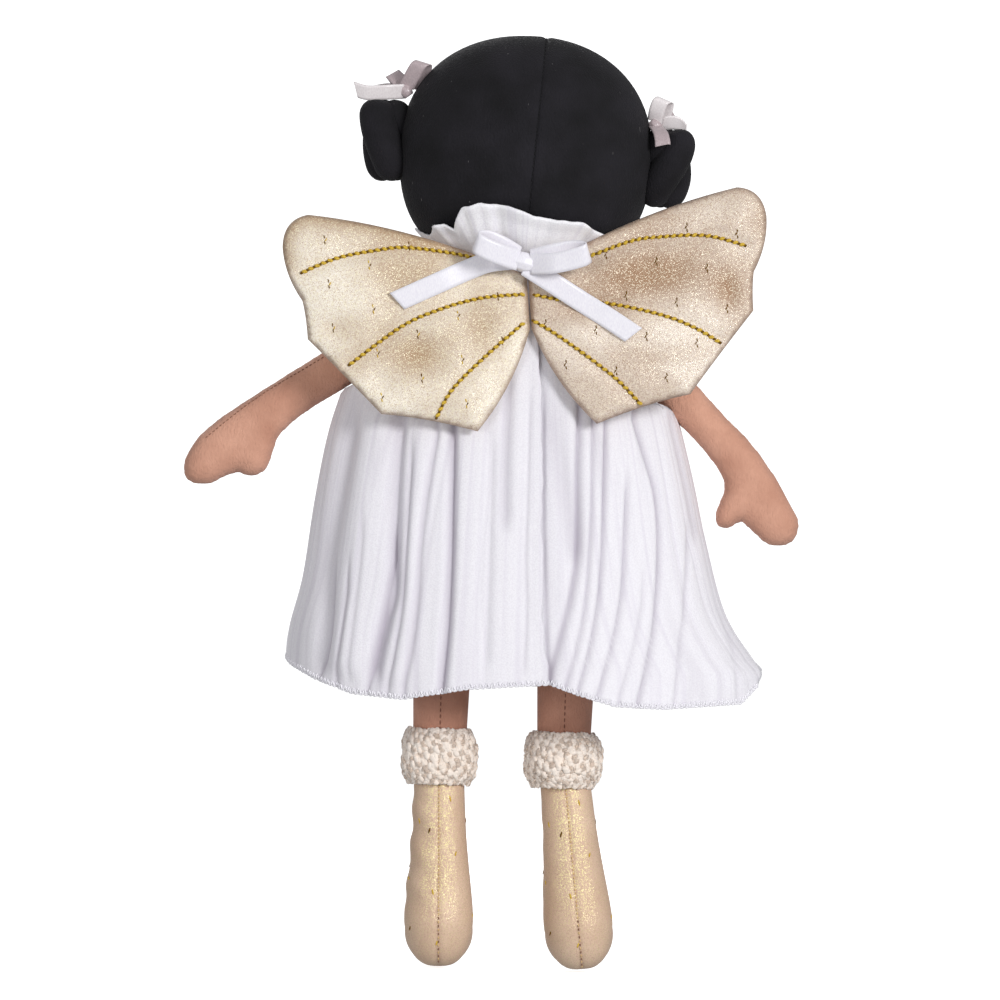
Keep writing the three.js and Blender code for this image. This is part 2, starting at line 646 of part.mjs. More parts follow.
// Materials, one for each finish
function finish(color, roughness, metalness = 0) {
  return new THREE.MeshStandardMaterial({ color, roughness, metalness });
}
const FINISHES = {
  skin: finish('#c48f73', 0.9),
  hair: finish('#26242a', 0.8),
  gauze: finish('#f1eff4', 0.95),
  sparkle: finish('#e3cda3', 0.5, 0.3),
  wadding: finish('#f4f2ee', 1),
  boot: finish('#d9b898', 0.5, 0.3),
  fleece: finish('#efe3d6', 1),
  white_ribbon: finish('#fbfaf8', 0.35),
  grey_ribbon: finish('#9a888a', 0.35),
};

const doll = new THREE.Group();
function add(name, geometry, material, parent = doll) {
  const mesh = new THREE.Mesh(geometry, FINISHES[material]);
  mesh.name = name;
  parent.add(mesh);
}

// Piece of a bow placed about its knot: angle from the side upwards and slope backwards, in degrees
function addTurned(name, geometry, material, side, place, { angle, slope, reach, back }) {
  const holder = new THREE.Group();
  holder.position.copy(place);
  holder.rotation.y = side > 0 ? -radians(angle) : Math.PI + radians(angle);
  add(name, geometry.rotateZ(radians(slope)).translate(reach, back, 0), material, holder);
  doll.add(holder);
}

add('torso', torsoForm, 'skin');
add('neck', neckForm(), 'skin');
add('hip_flap', hipFlap(), 'skin');
add('head_core', headForm(-HAIR_THICKNESS - SEAM_GAP), 'skin');
add('dress_front_panel', dressPanel(
  { angle: Math.PI / 2, side: true },
  { angle: Math.PI * 1.5, side: true },
  DRESS_FOLDS * 2,
), 'gauze');
const backOpening = radians(BACK_OPENING_ANGLE);
add('dress_back_left_panel', dressPanel(
  { angle: backOpening, side: false },
  { angle: Math.PI / 2, side: true },
  DRESS_FOLDS,
), 'gauze');
add('dress_back_right_panel', dressPanel(
  { angle: -Math.PI / 2, side: true },
  { angle: backOpening, side: false },
  DRESS_FOLDS,
), 'gauze');
add('neck_band', neckBand(), 'gauze');
add('neck_ruffle', neckRuffle(), 'gauze');

const napeKnot = new THREE.Vector3(WING_HINGE_X, NAPE_KNOT_BACK, napeKnotHeight);
add('nape_bow_knot', ribbonKnot(NAPE_RIBBON_WIDTH).translate(...napeKnot.toArray()), 'white_ribbon');
const loopBack = LOOP_FULLNESS / 2 - RIBBON_THICKNESS;
const tailBack = -RIBBON_THICKNESS / 2;

// Slope that lets the end of a nape tail rest on the wing behind it
function tailSlope(angle, length) {
  const drop = napeKnotHeight + (length + NAPE_RIBBON_WIDTH / 2) * Math.sin(radians(angle)) - wingTop;
  const face = WING_STAND_OFF - drop * WING_LEAN + wingPuff(0) + SEAM_GAP + RIBBON_THICKNESS / 2;
  return THREE.MathUtils.radToDeg(Math.atan2(face - NAPE_KNOT_BACK - tailBack, length));
}

for (const [name, side] of Object.entries(SIDES)) {
  const legX = side * LEG_SPACING / 2 + HIP_SHIFT;
  add(`${name}_hair_panel`, hairPanel(side), 'hair');
  add(`${name}_bun`, hairBun(side, BUN_HEIGHTS[name]), 'hair');
  add(`${name}_shoulder_flap`, shoulderFlap(side), 'skin');
  add(`${name}_arm`, armForm(side, ARM_DROP[name], HAND_DROP[name]), 'skin');
  add(`${name}_leg`, legForm(legX), 'skin');
  add(`${name}_boot`, bootForm(legX, side < 0 ? BOOT_SPLAY[name] : -BOOT_SPLAY[name]), 'boot');
  add(`${name}_cuff`, cuffForm(legX), 'fleece');

  const wing = wingPieces(side, WING_TILT[name]);
  add(`${name}_wing_back_cover`, wing.back_cover, 'sparkle');
  add(`${name}_wing_wadding`, wing.wadding, 'wadding');
  add(`${name}_wing_front_cover`, wing.front_cover, 'sparkle');

  const napeReach = NAPE_RIBBON_WIDTH / 2;
  const loop = NAPE_LOOPS[name];
  const tail = NAPE_TAILS[name];
  addTurned(`${name}_nape_loop`, ribbonLoop(loop.length, NAPE_RIBBON_WIDTH), 'white_ribbon', side, napeKnot,
    { angle: loop.angle, slope: NAPE_LOOP_SLOPE, reach: napeReach, back: loopBack });
  addTurned(`${name}_nape_tail`, ribbonTail(tail.length, NAPE_RIBBON_WIDTH), 'white_ribbon', side, napeKnot,
    { angle: tail.angle, slope: tailSlope(tail.angle, tail.length), reach: napeReach, back: tailBack });

  const knotHeight = BUN_HEIGHTS[name] + BUN_LENGTH / 2 - HAIR_KNOT_SEAT + HAIR_RIBBON_WIDTH / 2 + SEAM_GAP;
  const hairKnot = new THREE.Vector3(side * HAIR_KNOT_OUT, 0, knotHeight);
  const hairReach = HAIR_RIBBON_WIDTH / 2;
  add(`${name}_hair_bow_knot`, ribbonKnot(HAIR_RIBBON_WIDTH).translate(...hairKnot.toArray()), 'grey_ribbon');
  for (const [k, way] of [[0, 1], [1, -1]]) {
    const slope = way * HAIR_BOW_SPREAD;
    const loop = ribbonLoop(HAIR_LOOP_LENGTH, HAIR_RIBBON_WIDTH);
    const tail = ribbonTail(HAIR_TAIL_LENGTH, HAIR_RIBBON_WIDTH);
    const seat = { slope, reach: hairReach, back: way * loopBack };
    addTurned(`${name}_hair_loop_${k + 1}`, loop, 'grey_ribbon', side, hairKnot,
      { angle: HAIR_LOOPS[name][k], ...seat });
    addTurned(`${name}_hair_tail_${k + 1}`, tail, 'grey_ribbon', side, hairKnot,
      { angle: HAIR_TAILS[name][k], ...seat });
  }
}

// The origin is the middle of the doll's box at the floor
const box = new THREE.Box3().setFromObject(doll);
const middle = box.getCenter(new THREE.Vector3());
doll.position.set(-middle.x, -middle.y, -box.min.z);

export default doll;
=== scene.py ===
# %% [markdown]
# # A cloth doll with padded wings
# The doll stands upright and is seen from behind: black jersey hair with a seam down the back, two
# twisted buns with grey bows, a white gauze dress, sparkling wings and boots with fleece cuffs. The frame
# holds the plain solids and the joints. Every soft solid gets a dressed piece in its place here.

# %% Open the frame
import math
import bmesh
import bpy
import numpy as np
from mathutils import Matrix, Vector, noise
from mathutils.geometry import delaunay_2d_cdt


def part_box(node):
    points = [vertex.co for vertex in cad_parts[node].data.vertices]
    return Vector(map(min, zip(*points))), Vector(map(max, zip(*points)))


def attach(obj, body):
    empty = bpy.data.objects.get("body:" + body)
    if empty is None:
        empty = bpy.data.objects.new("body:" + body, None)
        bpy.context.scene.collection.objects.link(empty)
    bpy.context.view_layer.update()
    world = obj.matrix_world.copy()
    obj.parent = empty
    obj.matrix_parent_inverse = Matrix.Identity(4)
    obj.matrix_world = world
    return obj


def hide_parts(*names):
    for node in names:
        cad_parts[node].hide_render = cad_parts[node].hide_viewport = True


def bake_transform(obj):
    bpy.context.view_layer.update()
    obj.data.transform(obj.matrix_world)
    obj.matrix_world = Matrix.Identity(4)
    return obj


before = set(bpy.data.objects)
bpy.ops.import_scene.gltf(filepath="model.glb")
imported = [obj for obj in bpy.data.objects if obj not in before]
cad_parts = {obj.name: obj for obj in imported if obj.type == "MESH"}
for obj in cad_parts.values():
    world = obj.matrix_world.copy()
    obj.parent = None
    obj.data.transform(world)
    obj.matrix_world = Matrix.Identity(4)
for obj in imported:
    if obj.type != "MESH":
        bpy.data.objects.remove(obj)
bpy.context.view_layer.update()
torso_low, torso_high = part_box("torso")
MIDDLE = Vector(((torso_low[0] + torso_high[0]) / 2, (torso_low[1] + torso_high[1]) / 2, 0))
SIDES = {"left": 1, "right": -1}


def at(x, y, z):
    """A point given in millimetres from the doll's own middle, in the frame's metres."""
    return MIDDLE + Vector((x, y, z)) / 1000


print("nodes in the frame:", len(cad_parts), "middle of the doll:", MIDDLE)

# %% [markdown]
# ## Helpers for sewn pieces
# A sewn doll needs few kinds of form: rows of rings (limbs), grids (cloth) and flat shapes that are
# filled. Plain lists of points and faces are enough for all of them, and they stay easy to measure.


# %% Pieces from points and faces
def add_piece(name, points, faces, finish, body, slot, stands_for=(), finishes=(), picks=None):
    mesh = bpy.data.meshes.new(name)
    mesh.from_pydata([tuple(p) for p in points], [], faces)
    for one in (finish, *finishes):
        mesh.materials.append(one)
    if picks is not None:
        mesh.polygons.foreach_set("material_index", picks)
    shaper = bmesh.new()
    shaper.from_mesh(mesh)
    bmesh.ops.recalc_face_normals(shaper, faces=shaper.faces)
    shaper.to_mesh(mesh)
    shaper.free()
    mesh.polygons.foreach_set("use_smooth", [True] * len(mesh.polygons))
    made = bpy.data.objects.new(name, mesh)
    bpy.context.scene.collection.objects.link(made)
    if body:
        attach(made, body)
    if stands_for:
        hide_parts(*stands_for)
    return made


def soften(made, levels=1):
    modifier = made.modifiers.new("soft", "SUBSURF")
    modifier.levels = levels
    modifier.render_levels = levels
    return made


def thicken(made, millimetres):
    modifier = made.modifiers.new("cloth", "SOLIDIFY")
    modifier.thickness = millimetres / 1000
    modifier.offset = 0
    return made


def grid_faces(rows, columns, wrapped=False, start=0):
    faces = []
    for r in range(rows - 1):
        for k in range(columns if wrapped else columns - 1):
            a = start + r * columns + k
            b = start + r * columns + (k + 1) % columns
            faces.append((a, b, b + columns, a + columns))
    return faces


def ring_stack(rings):
    """Skin over a stack of rings, closed with a fan at each end."""
    count = len(rings[0])
    points = [p for ring in rings for p in ring]
    faces = grid_faces(len(rings), count, True)
    for ring, first in ((rings[0], 0), (rings[-1], (len(rings) - 1) * count)):
        points.append(sum(ring, Vector()) / count)
        faces += [(len(points) - 1, first + k, first + (k + 1) % count) for k in range(count)]
    return points, faces


def smooth_curve(points, per_span, closed=False):
    """Round curve through points, with the same number of steps in each span."""
    points = [Vector(p) for p in points]
    spans = len(points) if closed else len(points) - 1
    found = []
    for i in range(spans):
        pick = [points[(i + d) % len(points)] if closed else points[min(max(i + d, 0), len(points) - 1)]
                for d in (-1, 0, 1, 2)]
        for step in range(per_span):
            t = step / per_span
            found.append(0.5 * (2 * pick[1] + (pick[2] - pick[0]) * t
                                + (2 * pick[0] - 5 * pick[1] + 4 * pick[2] - pick[3]) * t * t
                                + (3 * pick[1] - pick[0] - 3 * pick[2] + pick[3]) * t ** 3))
    return found if closed else found + [points[-1]]


def smooth_step(value, low, high):
    t = min(max((value - low) / (high - low), 0), 1)
    return t * t * (3 - 2 * t)


def read_off(value, table):
    """Value between the rows of a short table of (place, size)."""
    places = [row[0] for row in table]
    return float(np.interp(value, places, [row[1] for row in table]))


print("helpers ready")

# %% [markdown]
# ## Camera
# The doll is seen straight from behind through a long lens, turned a little about the line of sight. One
# thousand pixels span three hundred and seventy-five millimetres at the doll.

# %% Camera
CAMERA_DISTANCE = 6
PHOTO_WIDTH = 0.375
PHOTO_ROLL = 1.8
target = at(5.6, 10, 175.8)
camera_data = bpy.data.cameras.new("camera")
camera_data.sensor_width = 36
camera_data.lens = camera_data.sensor_width * CAMERA_DISTANCE / PHOTO_WIDTH
camera = bpy.data.objects.new("camera", camera_data)
upright = Matrix.Rotation(math.pi, 4, "Z") @ Matrix.Rotation(math.pi / 2, 4, "X")
camera.matrix_world = (Matrix.Translation(target + Vector((0, CAMERA_DISTANCE, 0))) @ upright
                       @ Matrix.Rotation(math.radians(PHOTO_ROLL), 4, "Z"))
bpy.context.scene.collection.objects.link(camera)
bpy.context.scene.camera = camera
print("lens in millimetres:", round(camera_data.lens))

# %% [markdown]
# ## Floor and light
# Soft studio light: one large lamp at the upper right of the camera, a weaker one at the left, one for
# the front, a pale floor and a bright round wall far out, so that the doll is cut out against white from
# every side.


# %% Floor, wall and lamps
def stage_sheet(name, corners, faces, colour, glow):
    mesh = bpy.data.meshes.new(name)
    mesh.from_pydata(corners, [], faces)
    paint = bpy.data.materials.new(name)
    paint.use_nodes = True
    shader = paint.node_tree.nodes["Principled BSDF"]
    shader.inputs["Base Color"].default_value = (*colour, 1)
    shader.inputs["Roughness"].default_value = 0.9
    shader.inputs["Specular IOR Level"].default_value = 0
    shader.inputs["Emission Color"].default_value = (1, 1, 1, 1)
    shader.inputs["Emission Strength"].default_value = glow
    mesh.materials.append(paint)
    made = bpy.data.objects.new(name, mesh)
    bpy.context.scene.collection.objects.link(made)
    return made


FLOOR_LEVEL, WALL_REACH, WALL_TOP, WALL_SIDES = -0.0006, 14, 12, 48
turns = [2 * math.pi * k / WALL_SIDES for k in range(WALL_SIDES)]
round_edge = [(WALL_REACH * math.cos(t), WALL_REACH * math.sin(t)) for t in turns]
floor = stage_sheet("floor", [(x, y, FLOOR_LEVEL) for x, y in round_edge], [tuple(range(WALL_SIDES))],
                    (0.86, 0.86, 0.86), 0.74)
wall_corners = [(x, y, z) for z in (-0.1, WALL_TOP) for x, y in round_edge]
wall_faces = [(k, (k + 1) % WALL_SIDES, (k + 1) % WALL_SIDES + WALL_SIDES, k + WALL_SIDES)
              for k in range(WALL_SIDES)]
far_wall = stage_sheet("far_wall", wall_corners, wall_faces, (0.9, 0.9, 0.9), 0.95)
for backdrop in (floor, far_wall):
    backdrop.visible_diffuse = False
    backdrop.visible_glossy = False


def add_lamp(name, place, size, watts):
    lamp_data = bpy.data.lights.new(name, "AREA")
    lamp_data.shape = "DISK"
    lamp_data.size = size
    lamp_data.energy = watts
    lamp = bpy.data.objects.new(name, lamp_data)
    lamp.location = place
    lamp.rotation_euler = (Vector((0, 0, 0.18)) - Vector(place)).to_track_quat("-Z", "Y").to_euler()
    bpy.context.scene.collection.objects.link(lamp)


add_lamp("key", (-1.5, 2.2, 0.95), 0.8, 46)
add_lamp("fill", (1.4, 2.5, 0.15), 1.4, 23)
add_lamp("front", (0.7, -2.6, 1.1), 1.4, 26)
world = bpy.data.worlds.new("studio")
world.use_nodes = True
world.node_tree.nodes["Background"].inputs["Color"].default_value = (0.97, 0.98, 1, 1)
world.node_tree.nodes["Background"].inputs["Strength"].default_value = 0.42
bpy.context.scene.world = world
bpy.context.scene.view_settings.view_transform = "Standard"

# %% [markdown]
# ## Cloth finishes
# Each cloth is told apart by its surface: jersey has a fine knit and a soft bloom, gauze has upright crinkles
# painted as light and shaded stripes with painted shade in its creases, sparkle cloth has tiny bright grains that
# are partly painted glints, fleece is lumpy and satin shines along its weave. The patterns are made from points in
# space, in metres, so that they keep their real size on every piece.


# %% Node helpers
class Finish:
    """A material with its nodes, and short ways to add and link them."""

    def __init__(self, name, roughness, sheen=0.0, sheen_tint=(1, 1, 1, 1)):
        self.material = bpy.data.materials.new(name)
        self.material.use_nodes = True
        self.nodes = self.material.node_tree.nodes
        self.links = self.material.node_tree.links
        self.shader = self.nodes["Principled BSDF"]
        self.shader.inputs["Roughness"].default_value = roughness
        self.shader.inputs["Sheen Weight"].default_value = sheen
        self.shader.inputs["Sheen Tint"].default_value = sheen_tint
        self.place = self.nodes.new("ShaderNodeTexCoord").outputs["Object"]

    def stretched(self, scale):
        node = self.nodes.new("ShaderNodeMapping")
        node.inputs["Scale"].default_value = scale
        self.links.new(self.place, node.inputs["Vector"])
        return node.outputs["Vector"]

    def speckle(self, scale, detail=2.0, vector=None):
        node = self.nodes.new("ShaderNodeTexNoise")
        node.inputs["Scale"].default_value = scale
        node.inputs["Detail"].default_value = detail
        self.links.new(vector or self.place, node.inputs["Vector"])
        return node.outputs["Fac"]

    def grains(self, scale, vector=None):
        node = self.nodes.new("ShaderNodeTexVoronoi")
        node.inputs["Scale"].default_value = scale
        self.links.new(vector or self.place, node.inputs["Vector"])
        return node.outputs

    def ramp(self, value, stops):
        node = self.nodes.new("ShaderNodeValToRGB")
        while len(node.color_ramp.elements) < len(stops):
            node.color_ramp.elements.new(0.5)
        for element, (place, colour) in zip(node.color_ramp.elements, stops):
            element.position = place
            element.color = (*colour, 1)
        self.links.new(value, node.inputs["Fac"])
        return node.outputs["Color"]

    def mix(self, share, first, second, way="MIX"):
        node = self.nodes.new("ShaderNodeMix")
        node.data_type = "RGBA"
        node.blend_type = way
        for socket, value in ((node.inputs[0], share), (node.inputs[6], first), (node.inputs[7], second)):
            if isinstance(value, (int, float)):
                socket.default_value = value
            elif isinstance(value, tuple):
                socket.default_value = (*value, 1)
            else:
                self.links.new(value, socket)
        return node.outputs[2]

    def maths(self, way, first, second=0.0):
        node = self.nodes.new("ShaderNodeMath")
        node.operation = way
        for socket, value in zip(node.inputs, (first, second)):
            if isinstance(value, (int, float)):
                socket.default_value = value
            else:
                self.links.new(value, socket)
        return node.outputs[0]

    def painted(self, name):
        node = self.nodes.new("ShaderNodeAttribute")
        node.attribute_name = name
        return node.outputs["Fac"]

    def bumps(self, heights, distance, strength=1.0, before=None):
        node = self.nodes.new("ShaderNodeBump")
        node.inputs["Strength"].default_value = strength
        node.inputs["Distance"].default_value = distance
        self.links.new(heights, node.inputs["Height"])
        if before is not None:
            self.links.new(before, node.inputs["Normal"])
        return node.outputs["Normal"]

    def finish(self, colour=None, normal=None, roughness=None):
        for value, socket in ((colour, "Base Color"), (normal, "Normal"), (roughness, "Roughness")):
            if value is not None:
                self.links.new(value, self.shader.inputs[socket])
        return self.material


def from_photo(red, green, blue):
    """Linear colour of a screen colour."""
    return tuple(((c / 255 + 0.055) / 1.055) ** 2.4 if c > 10 else c / 255 / 12.92
                 for c in (red, green, blue))


# %% Jersey, gauze, fleece, satin and thread
def jersey(name, light, dark, sheen, lint):
    cloth = Finish(name, 0.85, sheen)
    cloth.shader.inputs["Specular IOR Level"].default_value = 0.25
    knit = cloth.speckle(1500, 3, cloth.stretched((1, 1, 0.45)))
    shade = cloth.ramp(cloth.speckle(60, 3), [(0.3, dark), (0.7, light)])
    colour = cloth.mix(cloth.maths("MULTIPLY", knit, 0.6), shade, dark)
    fibre = cloth.ramp(cloth.speckle(900, 1, cloth.stretched((1, 1, 0.3))),
                       [(0.79, (0, 0, 0)), (0.84, (1, 1, 1))])
    colour = cloth.mix(cloth.maths("MULTIPLY", fibre, lint), colour, (0.5, 0.48, 0.47))
    return cloth.finish(colour, cloth.bumps(knit, 0.0006, 0.8))


def gauze(name, pale, shaded):
    cloth = Finish(name, 0.9, 0.25)
    along_cloth = cloth.nodes.new("ShaderNodeCombineXYZ")
    height = cloth.nodes.new("ShaderNodeSeparateXYZ")
    cloth.links.new(cloth.place, height.inputs["Vector"])
    cloth.links.new(cloth.painted("run"), along_cloth.inputs["X"])
    cloth.links.new(cloth.maths("MULTIPLY", height.outputs["Z"], 9), along_cloth.inputs["Z"])
    crinkle = cloth.speckle(0.55, 1, along_cloth.outputs["Vector"])
    weave = cloth.speckle(1800, 2)
    # Painted shade: the crinkles shift between a pale and a shaded tone, and the creases and fold hollows take this
    # darker colour.
    crease_shade = from_photo(176, 168, 181)
    colour = cloth.ramp(crinkle, [(0.34, shaded), (0.5, pale)])
    threads = cloth.ramp(weave, [(0.38, (0.3, 0.3, 0.3)), (0.6, (0, 0, 0))])
    colour = cloth.mix(threads, colour, from_photo(214, 209, 218))
    colour = cloth.mix(cloth.painted("crease_shade"), colour, crease_shade)
    cloth.shader.inputs["Subsurface Weight"].default_value = 0.12
    cloth.shader.inputs["Subsurface Radius"].default_value = (0.004, 0.004, 0.004)
    waves = cloth.bumps(crinkle, 0.0004, 0.3)
    return cloth.finish(colour, cloth.bumps(weave, 0.0003, 0.4, waves))


def fleece(name, rough):
    """Woolly cloth that lets light in; rough is the height of its fine pile in metres."""
    cloth = Finish(name, 1.0, 0.5)
    cloth.shader.inputs["Subsurface Weight"].default_value = 0.1
    cloth.shader.inputs["Subsurface Scale"].default_value = 1
    cloth.shader.inputs["Subsurface Radius"].default_value = (0.001, 0.0009, 0.0008)
    pile = cloth.speckle(900, 4)
    lumps = cloth.speckle(230, 3)
    colour = cloth.ramp(lumps, [(0.3, from_photo(249, 233, 218)), (0.5, from_photo(252, 238, 225)),
                                (0.8, from_photo(254, 243, 232))])
    return cloth.finish(colour, cloth.bumps(pile, rough, 0.4))


def satin(name, light, dark):
    cloth = Finish(name, 0.3, 0.2)
    thread = cloth.speckle(1, 2, cloth.stretched((2600, 2600, 900)))
    colour = cloth.ramp(thread, [(0.3, dark), (0.7, light)])
    cloth.shader.inputs["Anisotropic"].default_value = 0.5
    return cloth.finish(colour, cloth.bumps(thread, 0.0001, 0.2))


def thread(name, light, dark, roughness=0.5):
    cloth = Finish(name, roughness)
    cloth.shader.inputs["Specular IOR Level"].default_value = 0.2
    twist = cloth.speckle(2400, 2)
    return cloth.finish(cloth.ramp(twist, [(0.3, dark), (0.7, light)]), cloth.bumps(twist, 0.0002, 0.5))


skin_cloth = jersey("brown_jersey", from_photo(224, 172, 148), from_photo(190, 138, 116), 0.12, 0.0)
leg_cloth = jersey("leg_jersey", from_photo(224, 167, 142), from_photo(188, 135, 113), 0.15, 0.0)
hair_cloth = jersey("black_jersey", from_photo(34, 32, 38), from_photo(15, 14, 17), 0.03, 0.3)
dress_cloth = gauze("white_gauze", from_photo(239, 237, 242), from_photo(233, 230, 237))
# The ruffle's gauze is a brighter copy of the dress's: painted light against the shade under the head.
ruffle_cloth_lit_copy = gauze("ruffle_gauze", from_photo(252, 251, 254), from_photo(240, 238, 244))
cuff_cloth = fleece("cream_fleece", 0.0004)
tuft_cloth = fleece("cream_tufts", 0.0001)
white_satin = satin("white_satin", from_photo(240, 238, 243), from_photo(228, 225, 234))
grey_satin = satin("grey_satin", from_photo(190, 175, 177), from_photo(168, 152, 155))
# A lighter copy of the grey satin: painted light for the bands that catch the lamp.
lit_grey_satin = satin("pale_grey_satin", from_photo(236, 230, 230), from_photo(222, 214, 215))
dark_thread = thread("dark_thread", (0.010, 0.009, 0.011), (0.004, 0.004, 0.005), 0.7)
white_thread = thread("white_thread", from_photo(250, 249, 252), from_photo(228, 225, 233), 0.8)
brown_thread = thread("brown_thread", from_photo(150, 108, 88), from_photo(122, 84, 68), 0.7)
gold_thread = thread("gold_thread", from_photo(228, 196, 78), from_photo(182, 142, 34), 0.35)
bronze_thread = thread("bronze_thread", from_photo(126, 92, 16), from_photo(86, 58, 8), 0.8)
print("cloths:", skin_cloth.name, hair_cloth.name, dress_cloth.name, cuff_cloth.name)


# %% Sparkle cloth
def sparkle(name, pale, tan, seam_shade, glitter_glint):
    """Champagne cloth with fine metal grains; painted shade darkens its dips and its sewn edge, and painted glints
    brighten some grains.
    """
    cloth = Finish(name, 0.5, 0.1)
    grains = cloth.grains(3500)
    pick = cloth.nodes.new("ShaderNodeSeparateColor")
    cloth.links.new(grains["Color"], pick.inputs["Color"])
    broad = cloth.ramp(cloth.speckle(34, 2), [(0.36, (0.42, 0.42, 0.42)), (0.6, (0, 0, 0))])
    colour = cloth.mix(broad, pale, tan)
    # Painted shade mixes in the tan: in the wings' hollows and on the boots' turned-away sides.
    colour = cloth.mix(cloth.painted("painted_shade"), colour, tan)
    colour = cloth.mix(cloth.ramp(pick.outputs[0], [(0.45, (0, 0, 0)), (1, (0.6, 0.6, 0.6))]), colour, tan)
    # Painted glints: the brightest grains take the near-white glint colour, as many as the painted share allows.
    bright = cloth.ramp(pick.outputs[1], [(0.74, (0, 0, 0)), (0.8, (1, 1, 1))])
    shown = cloth.maths("ADD", 0.3, cloth.maths("MULTIPLY", cloth.painted("glitter_glint"), 0.7))
    colour = cloth.mix(cloth.maths("MULTIPLY", bright, shown), colour, glitter_glint)
    colour = cloth.mix(cloth.painted("seam_shade"), colour, seam_shade)
    rough = cloth.maths("SUBTRACT", 0.55, cloth.maths("MULTIPLY", bright, 0.3))
    cloth.shader.inputs["Metallic"].default_value = 0.12
    return cloth.finish(colour, cloth.bumps(grains["Distance"], 0.0003, 0.35), rough)


# Both wings are one cloth; the right wing's darker tan is painted shade, since its nap lies the other way to the
# light.
wing_cloths = {
    "left": sparkle("left_wing_sparkle", from_photo(251, 243, 230), from_photo(170, 133, 92),
                    from_photo(178, 136, 104),
                    from_photo(255, 246, 210)),
    "right": sparkle("right_wing_sparkle", from_photo(248, 237, 225), from_photo(154, 114, 78),
                     from_photo(182, 142, 114),
                     from_photo(255, 243, 216)),
}
boot_cloth = sparkle("boot_sparkle", from_photo(232, 202, 177), from_photo(190, 152, 124),
                     from_photo(160, 124, 102),
                     from_photo(255, 240, 178))
print("sparkle cloths:", [c.name for c in wing_cloths.values()], boot_cloth.name)

# %% [markdown]
# ## Head and hair
# The head is a stuffed ball that is round above and full below. The hair is two panels of black jersey,
# sewn together in a seam that runs down the back and leans a little, with an arched edge round the face.
# Points are found by going out from the middle of the head along a direction until the surface is
# reached, so that the skin, the hair and the face all fit the same form.

# %% Form of the head
HEAD_TOP, HEAD_HEIGHT, HEAD_WIDTH, HEAD_DEPTH, HEAD_CROWN, HEAD_JOWL = 350, 87, 94, 72, 2.17, 2.6
HEAD_MIDDLE = HEAD_TOP - HEAD_HEIGHT / 2
SEAM_TOP, SEAM_BOTTOM = Vector((-6.5, 0, 350)), Vector((-0.3, 0, 263))


def head_share(height, grow):
    level = np.abs(height - HEAD_MIDDLE) / (HEAD_HEIGHT / 2 + grow)
    power = np.where(height > HEAD_MIDDLE, HEAD_CROWN, HEAD_JOWL)
    return np.clip(1 - level ** power, 0, None) ** (1 / power)


def head_points(directions, grow):
    """Surface points, in the doll's millimetres, along directions from the middle of the seam's axis."""
    directions = np.asarray(directions, float)
    centre = np.array((SEAM_TOP + SEAM_BOTTOM) / 2)
    low, high = np.zeros(len(directions)), np.full(len(directions), 90.0)
    for _ in range(30):
        reach = (low + high) / 2
        p = centre + directions * reach[:, None]
        share = head_share(p[:, 2], grow)
        spread = (p[:, 0] / (HEAD_WIDTH / 2 + grow)) ** 2 + (p[:, 1] / (HEAD_DEPTH / 2 + grow)) ** 2
        inside = spread < share ** 2
        low, high = np.where(inside, reach, low), np.where(inside, high, reach)
    return centre + directions * low[:, None]


axis = (SEAM_TOP - SEAM_BOTTOM).normalized()
backward = Vector((0, 1, 0))
sideward = backward.cross(axis).normalized()


def head_direction(fall, round_angle):
    """Direction at an angle down from the crown and an angle round from the back seam, left positive."""
    level = backward * math.cos(round_angle) + sideward * math.sin(round_angle)
    return axis * math.cos(fall) + level * math.sin(fall)


rows, columns = 34, 64
directions = [head_direction(math.pi * (r + 0.5) / rows, 2 * math.pi * k / columns)
              for r in range(rows) for k in range(columns)]
skin_points = head_points(directions, -1.7)
rings = [[at(*p) for p in skin_points[r * columns:(r + 1) * columns]] for r in range(rows)]
points, faces = ring_stack(rings)
head = add_piece("head_skin", points, faces, skin_cloth, "head", "skin", ["head_core"])
print("head skin points:", len(points))

# %% Hair panels with the back seam
HAIR_EDGE_BACK, HAIR_EDGE_FRONT = 268, 321
SEAM_SINK, SEAM_REACH = 0.6, 1.0


def hair_edge(round_angle):
    return HAIR_EDGE_BACK + (HAIR_EDGE_FRONT - HAIR_EDGE_BACK) * smooth_step(abs(round_angle), 1.55, 2.75)


def fall_to(height, round_angle):
    low, high = 0.05, math.pi - 0.05
    for _ in range(24):
        middle = (low + high) / 2
        reached = head_points([head_direction(middle, round_angle)], 0)[0][2]
        low, high = (middle, high) if reached > height else (low, middle)
    return low


rows, columns = 40, 72
for name, side in SIDES.items():
    directions, sinks = [], []
    angles = [math.pi * (k / (columns - 1)) ** 1.25 for k in range(columns)]
    ends = [fall_to(hair_edge(a), side * a) for a in angles]
    for r in range(rows):
        for a, end in zip(angles, ends):
            fall = 0.004 + (end - 0.004) * r / (rows - 1)
            directions.append(head_direction(fall, side * a))
            arc = 42 * math.sin(fall) * min(a, math.pi - a)
            sinks.append(SEAM_SINK * math.exp(-((arc / SEAM_REACH) ** 2)))
    surface = head_points(directions, 0.4)
    centre = np.array((SEAM_TOP + SEAM_BOTTOM) / 2)
    surface = surface - np.asarray(directions) * np.asarray(sinks)[:, None]
    made = add_piece(f"{name}_hair", [at(*p) for p in surface], grid_faces(rows, columns), hair_cloth,
                     "head", "hair",
                     [f"{name}_hair_panel"])
    modifier = thicken(made, 1.2).modifiers["cloth"]
    modifier.offset = -1
    print(made.name, len(surface), "points")


# %% [markdown]
# ## Stitches and beads
# Seams on the hair, legs and boots show as rows of small stitches, and the veins of the wings are rope
# stitch in gold and bronze thread. A stitch is a small long bead that lies along the seam; many of them
# are one mesh.


